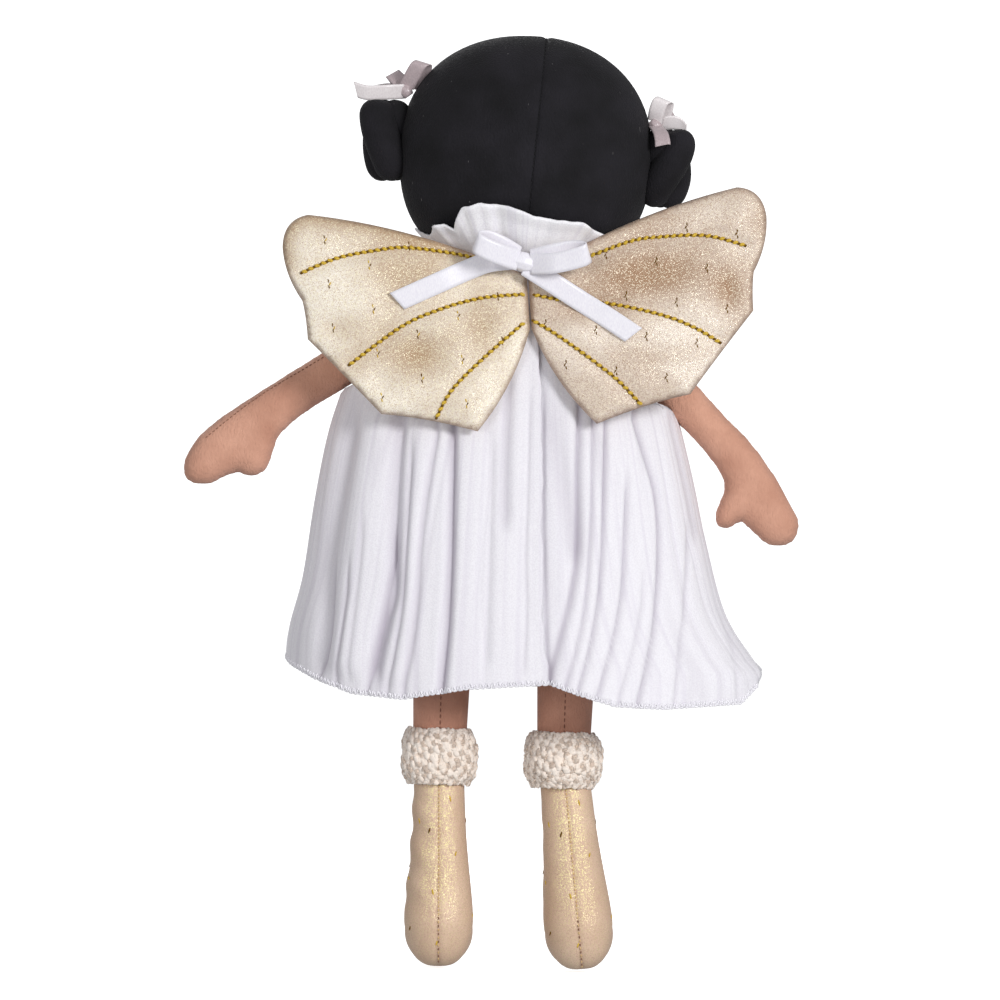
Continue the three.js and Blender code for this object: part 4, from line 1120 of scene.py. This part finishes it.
def dress_point(angle, height, tuck):
    half_width = read_off(height, WIDTH_LEFT if math.sin(angle) > 0 else WIDTH_RIGHT)
    half_depth = read_off(height, DEPTH)
    calm = 0.35 + 0.65 * smooth_step(NECKLINE - height, 4, 40)
    near_lap = min(abs(angle - BACK_OPENING), abs(angle - BACK_OPENING - 2 * math.pi))
    calm *= 0.35 + 0.65 * smooth_step(near_lap, 0.03, 0.16)
    rise, crease_shade = folds(angle, height)
    behind = smooth_step(math.cos(angle), 0.05, 0.3)
    sunk, shade = creases(half_width * math.sin(angle), height) if behind > 0 else (0, 0)
    rise = rise * (1 - 0.8 * behind) - sunk * behind
    # Painted shade: the fold hollows, fainter at the back, plus the long creases there.
    crease_shade = min(crease_shade * (0.3 - 0.1 * behind) + shade * behind, 0.9)
    calm *= 1 - 0.85 * math.exp(-((math.cos(angle) / 0.22) ** 2))
    fold = rise * calm - tuck
    return Vector(((half_width + fold) * math.sin(angle), (half_depth + fold) * math.cos(angle),
                   height)), crease_shade


print("widest places of the dress:", dress_point(math.pi / 2, 113, 0)[0].x,
      dress_point(-math.pi / 2, 112, 0)[0].x)

# %% Dress sheet
DRESS_ROWS, LAP, SEWN_CLOSE = 66, math.radians(5), 0.00005
panels = [(BACK_OPENING, None, math.pi / 2, "left", 190),
          (math.pi / 2, "left", math.pi * 1.5, "right", 300),
          (math.pi * 1.5, "right", math.pi * 2 + BACK_OPENING + LAP, None, 165)]


def opened(side, height):
    """How far a side edge draws back round the armhole."""
    if side is None:
        return 0
    bottom, curve = ARMHOLES[side]
    return ARMHOLE_OPENING * smooth_step(height, bottom, bottom + curve)


points, faces, hem_line, crease_shades, runs = [], [], [], [], []
for number, (first, first_side, last, last_side, columns) in enumerate(panels):
    start = len(points)
    for r in range(DRESS_ROWS):
        for k in range(columns):
            middle = first + (last - first) * k / (columns - 1)
            from_left = number == 0 or (number == 1 and math.sin(middle) > 0)
            height = NECKLINE + (hem_height(middle, from_left) - NECKLINE) * r / (DRESS_ROWS - 1)
            wavy = 0.016 * noise.noise(Vector((height / 8, 0.4, 2.2))) if number == 0 else 0
            a, b = first + wavy + opened(first_side, height), last - opened(last_side, height)
            if number == 0:
                middle += wavy * (1 - k / (columns - 1))
            angle = max(a, min(middle, b))
            tuck = 2.2 * smooth_step(angle, math.pi * 2 + BACK_OPENING - 0.12,
                                     math.pi * 2 + BACK_OPENING + 0.02)
            raised = 0.7 * math.exp(-((angle - BACK_OPENING) / 0.05) ** 2) if number == 0 else 0
            place, crease_shade = dress_point(angle, height, tuck - raised)
            points.append(place)
            crease_shades.append(crease_shade)
            runs.append(FOLD_RUN * angle)
    faces += grid_faces(DRESS_ROWS, columns, False, start)
    hem_line.append(points[-columns:])
dress = add_piece("gauze_dress", [at(*p) for p in points], faces, dress_cloth, None, "gauze",
                  ["dress_front_panel", "dress_back_left_panel", "dress_back_right_panel"])
# Painted shade for the creases and fold hollows, read by the gauze.
crease = dress.data.attributes.new("crease_shade", "FLOAT", "POINT")
crease.data.foreach_set("value", crease_shades)
dress.data.attributes.new("run", "FLOAT", "POINT").data.foreach_set("value", runs)
sewer = bmesh.new()
sewer.from_mesh(dress.data)
bmesh.ops.remove_doubles(sewer, verts=sewer.verts, dist=SEWN_CLOSE)
bmesh.ops.recalc_face_normals(sewer, faces=sewer.faces)
cloth_area = sum(f.calc_area() for f in sewer.faces)
sewer.to_mesh(dress.data)
sewer.free()
thicken(dress, 0.8)
print("dress points:", len(points), "cloth area in square metres:", round(cloth_area, 4))

# %% [markdown]
# ## Hem of the dress
# The hem is overlocked: white thread wraps the raw edge in close slanted stitches.

# %% Overlocked hem
stitches = []
for line in hem_line:
    for number, (place, along) in enumerate(walk(line, 1.05)):
        if abs(along.z) > 0.6 or place.x < -93:
            continue
        outward = Vector((place.x / 87, place.y / 52, 0)).normalized()
        lift = Vector((0, 0, 1.15 + 0.35 * ((number * 7) % 5 - 2) / 2))
        slant = Vector((0, 0, 1)) + along * (0.5 if number % 2 else -0.35)
        stitches.append((place + lift * 0.7 + outward * 0.35, slant, outward, (2.3, 0.7, 0.75), 0))
        if number % 2:
            stitches.append((place + outward * 0.1, along, outward, (1.9, 0.9, 1.0), 0))
hem = bead_row("hem_overlock", stitches, [white_thread], None, "gauze")
for cloth in (dress, hem):
    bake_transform(cloth)
print("hem stitches:", len(stitches))

# %% [markdown]
# ## Neck casing and ruffle
# Above the neckline the gauze is gathered into a casing, and its free edge stands up round the head as a ruffle.

# %% Casing and ruffle
GATHERS, GATHER_HEIGHT = 34, 0.4
columns = 160
rings = []
for height, radius in ((257.8, 14.6), (259.0, 15.3), (261.2, 15.3), (262.6, 14.6)):
    ring = []
    for t in (2 * math.pi * k / columns for k in range(columns)):
        out = radius + GATHER_HEIGHT * math.cos(GATHERS * t)
        ring.append(at(out * math.sin(t), out * math.cos(t), height))
    rings.append(ring)
casing = add_piece("neck_casing", [p for ring in rings for p in ring], grid_faces(4, columns, True),
                   dress_cloth, "torso",
                   "gauze", ["neck_band"])
thicken(casing, 0.9)
RUFFLE_LOW = 262.4
RUFFLE_TOPS = [(-60, 274), (-34, 275.5), (-28, 277.8), (-22, 280), (-10, 281.2), (-3, 282.2), (3, 284.6),
               (8, 285.8),
               (16, 286.2), (22.5, 284.6), (26, 280), (28.5, 276.5), (32, 278), (38, 277), (43, 274),
               (60, 273)]
columns, rows = 260, 20
points = []
for r in range(rows):
    for k in range(columns):
        t = 2 * math.pi * k / columns
        top = 276.0 + 0.8 * math.sin(9 * t)
        if math.cos(t) > 0:
            top += (read_off(47 * math.sin(t), RUFFLE_TOPS) - top) * smooth_step(math.cos(t), 0.1, 0.5)
        rise = r / (rows - 1)
        height = RUFFLE_LOW + (top - RUFFLE_LOW) * rise
        share = float(head_share(np.array(height), 0.0))
        uneven = noise.noise(Vector((math.sin(t) * 3.1, math.cos(t) * 3.1, 1.2)))
        height += 0.45 * noise.noise(Vector((13 * t, 0.3, 4.1))) * rise
        aside = 1 - 0.9 * smooth_step(abs(math.sin(t)), 0.7, 0.9)
        wave = (2.6 + 1.6 * uneven) * (0.5 + 0.5 * math.cos(15 * (t + 0.12 * uneven))) * rise ** 0.7
        wave += 0.6 * (0.5 + 0.5 * math.cos(44 * t)) * (1 - 0.5 * rise)
        roll = 1.6 * smooth_step(rise, 0.75, 1)
        gap = 1.0 + (0.6 + wave + roll) * aside
        half_width = max(15.0 + 0.4 * math.cos(44 * t), HEAD_WIDTH / 2 * share + gap)
        half_depth = max(15.0 + 0.4 * math.cos(44 * t), HEAD_DEPTH / 2 * share + gap)
        points.append(at(half_width * math.sin(t), half_depth * math.cos(t), height))
ruffle = add_piece("gauze_ruffle", points, grid_faces(rows, columns, True), ruffle_cloth_lit_copy, None, "gauze",
                   ["neck_ruffle"])
ruffle_runs = [40 * 2 * math.pi * k / columns for r in range(rows) for k in range(columns)]
ruffle.data.attributes.new("run", "FLOAT", "POINT").data.foreach_set("value", ruffle_runs)
thicken(ruffle, 0.7)
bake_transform(ruffle)
print("ruffle points:", len(points))


# %% [markdown]
# ## Ribbon bows
# A bow is one length of satin ribbon: two loops, two tails and a short turn round the middle that looks
# like a knot. Each band is swept along a curve, with the direction of its width given at every point,
# then made thick.


# %% Ribbon bands
def ribbon(name, path, widths, half, finish, body, slot, stands_for=(), cut=0.0, per_span=9):
    """Band along a path of places; widths gives the direction of its width at each of them."""
    line = smooth_curve(path, per_span)
    ways = smooth_curve(widths, per_span)
    across = 7
    points = []
    for i, (place, way) in enumerate(zip(line, ways)):
        along = (line[min(i + 1, len(line) - 1)] - line[max(i - 1, 0)]).normalized()
        way = way.normalized()
        near_end = smooth_step(i / (len(line) - 1), 0.85, 1.0)
        for k in range(across):
            s = 2 * k / (across - 1) - 1
            points.append(at(*(place + way * half * s + along * cut * s * near_end)))
    made = add_piece(name, points, grid_faces(len(line), across), finish, body, slot, stands_for)
    thicken(made, 0.45)
    return made


def knot(name, place, along, up, size, finish, body, slot, stands_for):
    """Tight turn of ribbon: a short barrel that is pinched at its ends and creased along its length."""
    along, up = along.normalized(), up.normalized()
    across = up.cross(along)
    length, width, depth = size
    rings = []
    for s in np.linspace(-1, 1, 11):
        pinch = 0.78 + 0.22 * math.cos(s * math.pi / 2)
        ring = []
        for k in range(28):
            t = 2 * math.pi * k / 28
            crease = 1 + 0.05 * math.cos(9 * t)
            ring.append(at(*(place + along * s * length / 2
                             + across * math.cos(t) * width / 2 * pinch * crease
                             + up * math.sin(t) * depth / 2 * pinch * crease)))
        rings.append(ring)
    return add_piece(name, *ring_stack(rings), finish, body, slot, stands_for)


def wing_back(name, x, z):
    """How far back the wing's cloth stands at a place of the doll."""
    u, v = to_wing(name, x, z)
    return from_wing(name, u, v, wing_lift(name, [(u, v)])[0]).y


# %% White bow at the nape
knot("nape_knot", KNOT, Vector((1, 0, 0.25)), Vector((0, 1, 0)), (7.6, 7.4, 6.4), white_satin, "torso",
     "white_ribbon",
     ["nape_bow_knot"])
loops = {
    "left": ([(1.5, 33.5, 266.8), (7.5, 36.2, 270.2), (14, 37.8, 272.8), (17.6, 40.0, 272.4),
              (16.0, 42.2, 270.4),
              (9, 40.6, 267.6), (1.5, 35.5, 265.4)],
             [(-0.3, 0, 1), (-0.4, 0.1, 1), (-0.45, 0.3, 0.9), (-0.3, 0.45, 0.9), (-0.4, 0.2, 1),
              (-0.4, 0, 1), (-0.2, 0, 1)]),
    "right": ([(-3, 33.5, 266.0), (-10, 36.5, 267.8), (-19, 38.0, 269.9), (-24.4, 40.4, 269.6),
               (-22.2, 42.6, 267.6),
               (-12, 40.5, 264.8), (-3, 35.2, 264.2)],
              [(0.1, 0, 1), (0.2, 0.1, 1), (0.3, 0.3, 0.9), (0.3, 0.45, 0.9), (0.3, 0.2, 1), (0.2, 0, 1),
               (0.1, 0, 1)]),
}
tails = {"left": [(1, 266.0), (11.4, 264.8), (19.6, 261.7), (30.7, 256.4), (46.4, 248.8)],
         "right": [(-1.5, 263.5), (-6.7, 260.4), (-22, 251.2), (-33, 244.8), (-42.3, 239.0)]}
for name, side in SIDES.items():
    path, widths = loops[name]
    loop = ribbon(f"{name}_nape_bow_loop", path, widths, 3.9, white_satin, None, "white_ribbon",
                  [f"{name}_nape_loop"])
    line = tails[name]
    places, ways = [], []
    for number, (x, z) in enumerate(line):
        lifts = max(wing_back(name, x, z + d) for d in (-3, 0, 3))
        y = KNOT.y + 0.6 if number == 0 else max(lifts + 0.75, 34.4 if number == 1 else 0)
        places.append((x, y, z))
        a, b = line[max(number - 1, 0)], line[min(number + 1, len(line) - 1)]
        ways.append(Vector((-(b[1] - a[1]), 0, b[0] - a[0])).normalized() * side)
    tail = ribbon(f"{name}_nape_bow_tail", places, ways, 3.9, white_satin, None, "white_ribbon",
                  [f"{name}_nape_tail"],
                  cut=1.3)
    for band in (loop, tail):
        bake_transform(band)
print("white bow made")

# %% Grey bows on the buns
GREY = {
    "left": {"knot": (45.8, 2.5, 328.2),
             "loops": [([(45.5, 3, 329.5), (43.5, 5.6, 334), (41.2, 7.2, 338), (39.0, 5.0, 338.6),
                         (40.2, 2.0, 334), (44.6, 1.5, 329.5)],
                        [(0.9, 0, 0.25)] * 6),
                       ([(46.3, 1.5, 329.5), (48.6, 0.5, 332.4), (51.0, -2.0, 334.6), (50.4, -4.4, 334),
                         (48.4, -3.0, 331.5), (46.5, 0, 329)],
                        [(0.8, 0.2, -0.5)] * 6)],
             "tails": [([(46.5, 3.5, 328), (53, 6.2, 327.4), (60, 6.6, 327.0), (64.5, 5.6, 328.0)],
                        [(0, 0.35, 1)] * 4),
                       ([(47, 0, 328), (53, -4.5, 328.4), (59, -7.0, 327.2)], [(0, -0.5, 1)] * 3)]},
    "right": {"knot": (-48.2, 3.0, 318.2),
              "loops": [([(-48, 3.5, 319.5), (-48.5, 6.2, 323.5), (-50.0, 7.4, 327.2), (-52.2, 5.4, 327.4),
                          (-51.4, 2.6, 323), (-48.8, 2, 319.5)],
                         [(0.9, 0, 0.35)] * 6),
                        ([(-48.8, 1.5, 319), (-51.5, 0.0, 321.4), (-54.2, -2.0, 323.4),
                          (-54.6, -4.4, 322.6), (-52.0, -3.4, 320.6), (-49, 0, 318.8)],
                         [(0.5, 0.2, 0.9)] * 6)],
              "tails": [([(-48.6, 5.2, 317.6), (-50.2, 10.4, 315.4), (-51.0, 13.2, 312.6),
                          (-51.2, 13.6, 310.6)], [(1, 0, 0.06)] * 4),
                        ([(-49.5, 2, 318), (-53.5, 3.4, 319.4), (-57.6, 3.0, 319.0), (-60.0, 2.4, 317.0)],
                         [(0.2, 0.5, 1)] * 4)]},
}
# These bands of the grey bows take the lighter copy: painted light where they catch the lamp.
LIT_BANDS = (("left", "tail", 1), ("right", "loop", 1), ("right", "tail", 2))
for name, bow in GREY.items():
    knot(f"{name}_bun_knot", Vector(bow["knot"]), Vector((0.6, 0, 0.8)), Vector((0, 1, 0)), (4.6, 4.8, 4.6),
         grey_satin,
         "head", "grey_ribbon", [f"{name}_hair_bow_knot"])
    for kind, bands in (("loop", bow["loops"]), ("tail", bow["tails"])):
        for number, (path, widths) in enumerate(bands, 1):
            cloth = lit_grey_satin if (name, kind, number) in LIT_BANDS else grey_satin
            ribbon(f"{name}_bun_{kind}_{number}", path, widths, 2.9, cloth, "head", "grey_ribbon",
                   [f"{name}_hair_{kind}_{number}"], cut=0.9 if kind == "tail" else 0)
print("grey bows made")

# %% [markdown]
# ## Legs, boots and cuffs
# A leg is a stuffed tube with a seam down its back. The boot widens to a round heel, has a short foot in
# front, and its back seam ends at the sole. A ring of fleece covers the place where boot and leg are
# joined.


# %% Legs
LEG_X, ANKLE, LEG_TOP = {"left": 25.4, "right": -21.2}, 79, 144.4
for name in SIDES:
    x = LEG_X[name]
    leg_rings = stuffed_column(x, 0, [(ANKLE + 0.3, 9.7, 9.7), (89, 10.1, 10.1), (124, 11.1, 10.1),
                                      (138.4, 11.1, 5.2),
                                      (LEG_TOP, 9.2, 1.6)], 8)
    for ring in leg_rings:
        for p in ring:
            offset = p - at(x, 0, 0)
            if offset.y > 0:
                p.y -= 0.0006 * math.exp(-((offset.x * 1000 / 0.9) ** 2))
    leg = add_piece(f"{name}_stuffed_leg", *ring_stack(leg_rings), leg_cloth, f"{name}_leg", "skin",
                    [f"{name}_leg"])
    seam = [(x, 9.75, z) for z in np.linspace(86, 124, 30)]
    stitches = [(p, d, Vector((0, 1, 0)), (1.6, 0.5, 0.5), 0) for p, d in walk(seam, 2.3)]
    bead_row(f"{name}_leg_seam", stitches, [brown_thread], f"{name}_leg", "skin")
    print(leg.name, len(leg.data.vertices), "points")

# %% Boots
BOOT_SPLAY = {"left": -1.6, "right": 7}
BOOT_WRINKLES = {"left": 0.0004, "right": 0.0001}
BOOT_SECTIONS = [(ANKLE, 9.6, 9.6), (69, 9.6, 9.6), (47, 10.6, 10.8), (21, 13.0, 13.0), (13, 12.6, 12.4),
                 (6.3, 10.7, 10.4),
                 (2.4, 8.0, 7.6), (0.05, 4.4, 4.0)]
FOOT_LENGTH, FOOT_HEIGHT = 44, 27


for name, side in SIDES.items():
    turn = Matrix.Rotation(math.radians(-side * BOOT_SPLAY[name]), 4, "Y")
    ankle = Vector((LEG_X[name], 0, ANKLE))

    def place(p):
        q = turn @ (Vector(p) - Vector((0, 0, ANKLE))) + ankle
        q.z = max(q.z, 0.0)
        return at(*q)

    shaft = [[place((w * math.cos(t), d * math.sin(t), z))
              for t in (2 * math.pi * k / 40 for k in range(40))]
             for z, w, d in smooth_curve(BOOT_SECTIONS, 6)]
    shaft_points, shaft_faces = ring_stack(shaft)
    foot = [[place((13.0 * math.cos(t) * s, 11.0 - FOOT_LENGTH / 2 - FOOT_LENGTH / 2 * c,
                    max(FOOT_HEIGHT / 2 - 0.4 + FOOT_HEIGHT / 2 * math.sin(t) * s, 0)))
             for t in (2 * math.pi * k / 40 for k in range(40))]
            for s, c in ((math.sin(a), math.cos(a)) for a in np.linspace(0.12, math.pi - 0.12, 24))]
    foot_points, foot_faces = ring_stack(foot)
    points = shaft_points + foot_points
    faces = shaft_faces + [tuple(i + len(shaft_points) for i in face) for face in foot_faces]
    boot = add_piece(f"{name}_stuffed_boot", points, faces, boot_cloth, f"{name}_leg", "boot",
                     [f"{name}_boot"])
    remesh = boot.modifiers.new("one_skin", "REMESH")
    remesh.mode = "VOXEL"
    remesh.voxel_size = 0.0011
    ease = boot.modifiers.new("ease", "SMOOTH")
    ease.factor, ease.iterations = 0.5, 16
    baked = bpy.data.meshes.new_from_object(boot.evaluated_get(bpy.context.evaluated_depsgraph_get()))
    boot.modifiers.clear()
    boot.data = baked
    boot.data.polygons.foreach_set("use_smooth", [True] * len(baked.polygons))
    # Painted shade in the groove of the back seam.
    seam_shade = baked.attributes.new("seam_shade", "FLOAT", "POINT")
    shade = []
    for v in baked.vertices:
        local = turn.inverted() @ ((v.co - MIDDLE) * 1000 - ankle)
        groove = math.exp(-((local.x / 0.8) ** 2)) if v.normal.y > 0.15 else 0
        v.co -= v.normal * 0.0006 * groove
        bent = smooth_step(local.z, -62, -48) * (1 - smooth_step(local.z, -18, -10))
        bent *= smooth_step(local.x, -3, 8)
        ripple = math.sin(local.z / 2.3 - 0.25 * local.x + 1.5 * noise.noise(local / 14))
        v.co += v.normal * BOOT_WRINKLES[name] * bent * ripple
        v.co.z = max(v.co.z, 0.0)
        shade.append(0.25 * groove)
    seam_shade.data.foreach_set("value", shade)
    # Painted shade where the boot turns away from the camera side, from which the key light comes.
    painted_shade = baked.attributes.new("painted_shade", "FLOAT", "POINT")
    painted_shade.data.foreach_set("value", [0.6 * (1 - smooth_step(v.normal.y, 0.0, 0.75)) for v in baked.vertices])
    # Painted glints: more bright grains where the boot faces the camera and the key light, above the sole.
    glitter_glint = baked.attributes.new("glitter_glint", "FLOAT", "POINT")
    shine = [1.25 * smooth_step(v.normal.y, 0.72, 0.99) * smooth_step(v.co.z, 0.012, 0.035)
             for v in baked.vertices]
    glitter_glint.data.foreach_set("value", shine)
    seam = []
    for z, w, d in smooth_curve(BOOT_SECTIONS, 6):
        q = turn @ (Vector((0, d - 0.35, z)) - Vector((0, 0, ANKLE))) + ankle
        if 1.5 < q.z < 72:
            seam.append(q)
    stitches = [(p, d, Vector((0, 1, 0)), (1.1, 0.5, 0.45), int(p.z < 20 and number % 2))
                for number, (p, d) in enumerate(walk(seam, 1.5))]
    pale_thread = bpy.data.materials.get("pale_gold_thread") or thread("pale_gold_thread", from_photo(236, 206, 150),
                                                                       from_photo(200, 164, 110), 0.4)
    bead_row(f"{name}_boot_seam", stitches, [pale_thread, brown_thread], f"{name}_leg", "boot")
    flecks, skin = [], np.array([tuple(v.co) for v in baked.vertices])
    for number in range(18):
        z = 8 + (number * 13.7) % 58
        t = math.radians(90 + ((number * 47) % 320) - 160)
        z0, w, d = min(smooth_curve(BOOT_SECTIONS, 6), key=lambda s: abs(s[0] - z))
        normal = turn.to_3x3() @ Vector((math.cos(t), math.sin(t), 0))
        if normal.y < -0.35 and z < 32:
            continue
        spot = turn @ (Vector((w * math.cos(t), d * math.sin(t), z0)) - Vector((0, 0, ANKLE))) + ankle
        near = ((skin - np.array(at(*spot))) ** 2).sum(1).argmin()
        lean = Vector((0.25 * (-1) ** number, 0, 1))
        on_skin = (baked.vertices[int(near)].co - MIDDLE) * 1000
        flecks.append((on_skin, lean, baked.vertices[int(near)].normal, (2.6, 0.75, 0.4),
                       int(number % 3 == 0)))
    bead_row(f"{name}_boot_flecks", flecks, [gold_thread, bronze_thread], f"{name}_leg", "boot")
    print(boot.name, len(baked.vertices), "points,", len(stitches), "stitches")

# %% Fleece cuffs
CUFF_RADIUS, CUFF_BORE, CUFF_HALF = 14.2, 10.3, 9.8
CUFF_RINGS, CUFF_ROUND, CUFF_TUFTS, TUFT = 76, 200, 1400, (3.0, 2.2, 1.5)
for name, side in SIDES.items():
    x = LEG_X[name]
    rings = []
    for k in range(CUFF_RINGS):
        turn = 2 * math.pi * k / CUFF_RINGS
        rise = math.copysign(abs(math.sin(turn)) ** 0.85, math.sin(turn))
        wide = math.copysign(abs(math.cos(turn)) ** 0.75, math.cos(turn))
        out = (CUFF_RADIUS + CUFF_BORE) / 2 + (CUFF_RADIUS - CUFF_BORE) / 2 * wide
        barrel = 1.9 * abs(rise) ** 3 * smooth_step(wide, -0.2, 0.6)
        ring = []
        for j in range(CUFF_ROUND):
            t = 2 * math.pi * j / CUFF_ROUND
            seed = Vector((math.cos(t) * 14, math.sin(t) * 14, CUFF_HALF * rise + 60 * side))
            clumps = abs(noise.noise(seed / 3.4)) + 0.6 * abs(noise.noise(seed / 1.7 + Vector((3, 5, 7))))
            lump = 1.2 * noise.noise(seed / 8) + 1.1 * (clumps - 0.3) + 0.35 * noise.noise(seed / 1.3)
            outer = smooth_step(out, CUFF_BORE + 0.4, CUFF_BORE + 2) * (1 - 0.5 * rise ** 4)
            push = lump * outer - barrel
            seam = 0.8 * math.exp(-((t - math.pi / 2) / 0.05) ** 2) * outer
            ring.append(at(x + (out + push - seam) * math.cos(t), (out + push - seam) * math.sin(t),
                           ANKLE + CUFF_HALF * rise + 0.6 * lump * outer * rise))
        rings.append(ring)
    points = [p for ring in rings for p in ring]
    faces = grid_faces(len(rings), CUFF_ROUND, True)
    last = (len(rings) - 1) * CUFF_ROUND
    faces += [(last + k, last + (k + 1) % CUFF_ROUND, (k + 1) % CUFF_ROUND, k) for k in range(CUFF_ROUND)]
    cuff = add_piece(f"{name}_fleece_cuff", points, faces, cuff_cloth, f"{name}_leg", "fleece",
                     [f"{name}_cuff"])
    tufts = []
    for number in range(CUFF_TUFTS):
        ring = int(CUFF_RINGS * (0.78 + 0.44 * ((number * 0.618) % 1))) % CUFF_RINGS
        place = (rings[ring][(number * 89) % CUFF_ROUND] - MIDDLE) * 1000
        outward = Vector((place.x - x, place.y, (place.z - ANKLE) * 0.25)).normalized()
        way = Vector((noise.noise(place * 3.1), noise.noise(place * 3.7), noise.noise(place * 4.3)))
        way -= outward * way.dot(outward)
        tufts.append((place - outward * 0.3, way, outward, TUFT, 0))
    bead_row(f"{name}_cuff_pile", tufts, [tuft_cloth], f"{name}_leg", "fleece")
    print(cuff.name, len(points), "points,", len(tufts), "tufts")
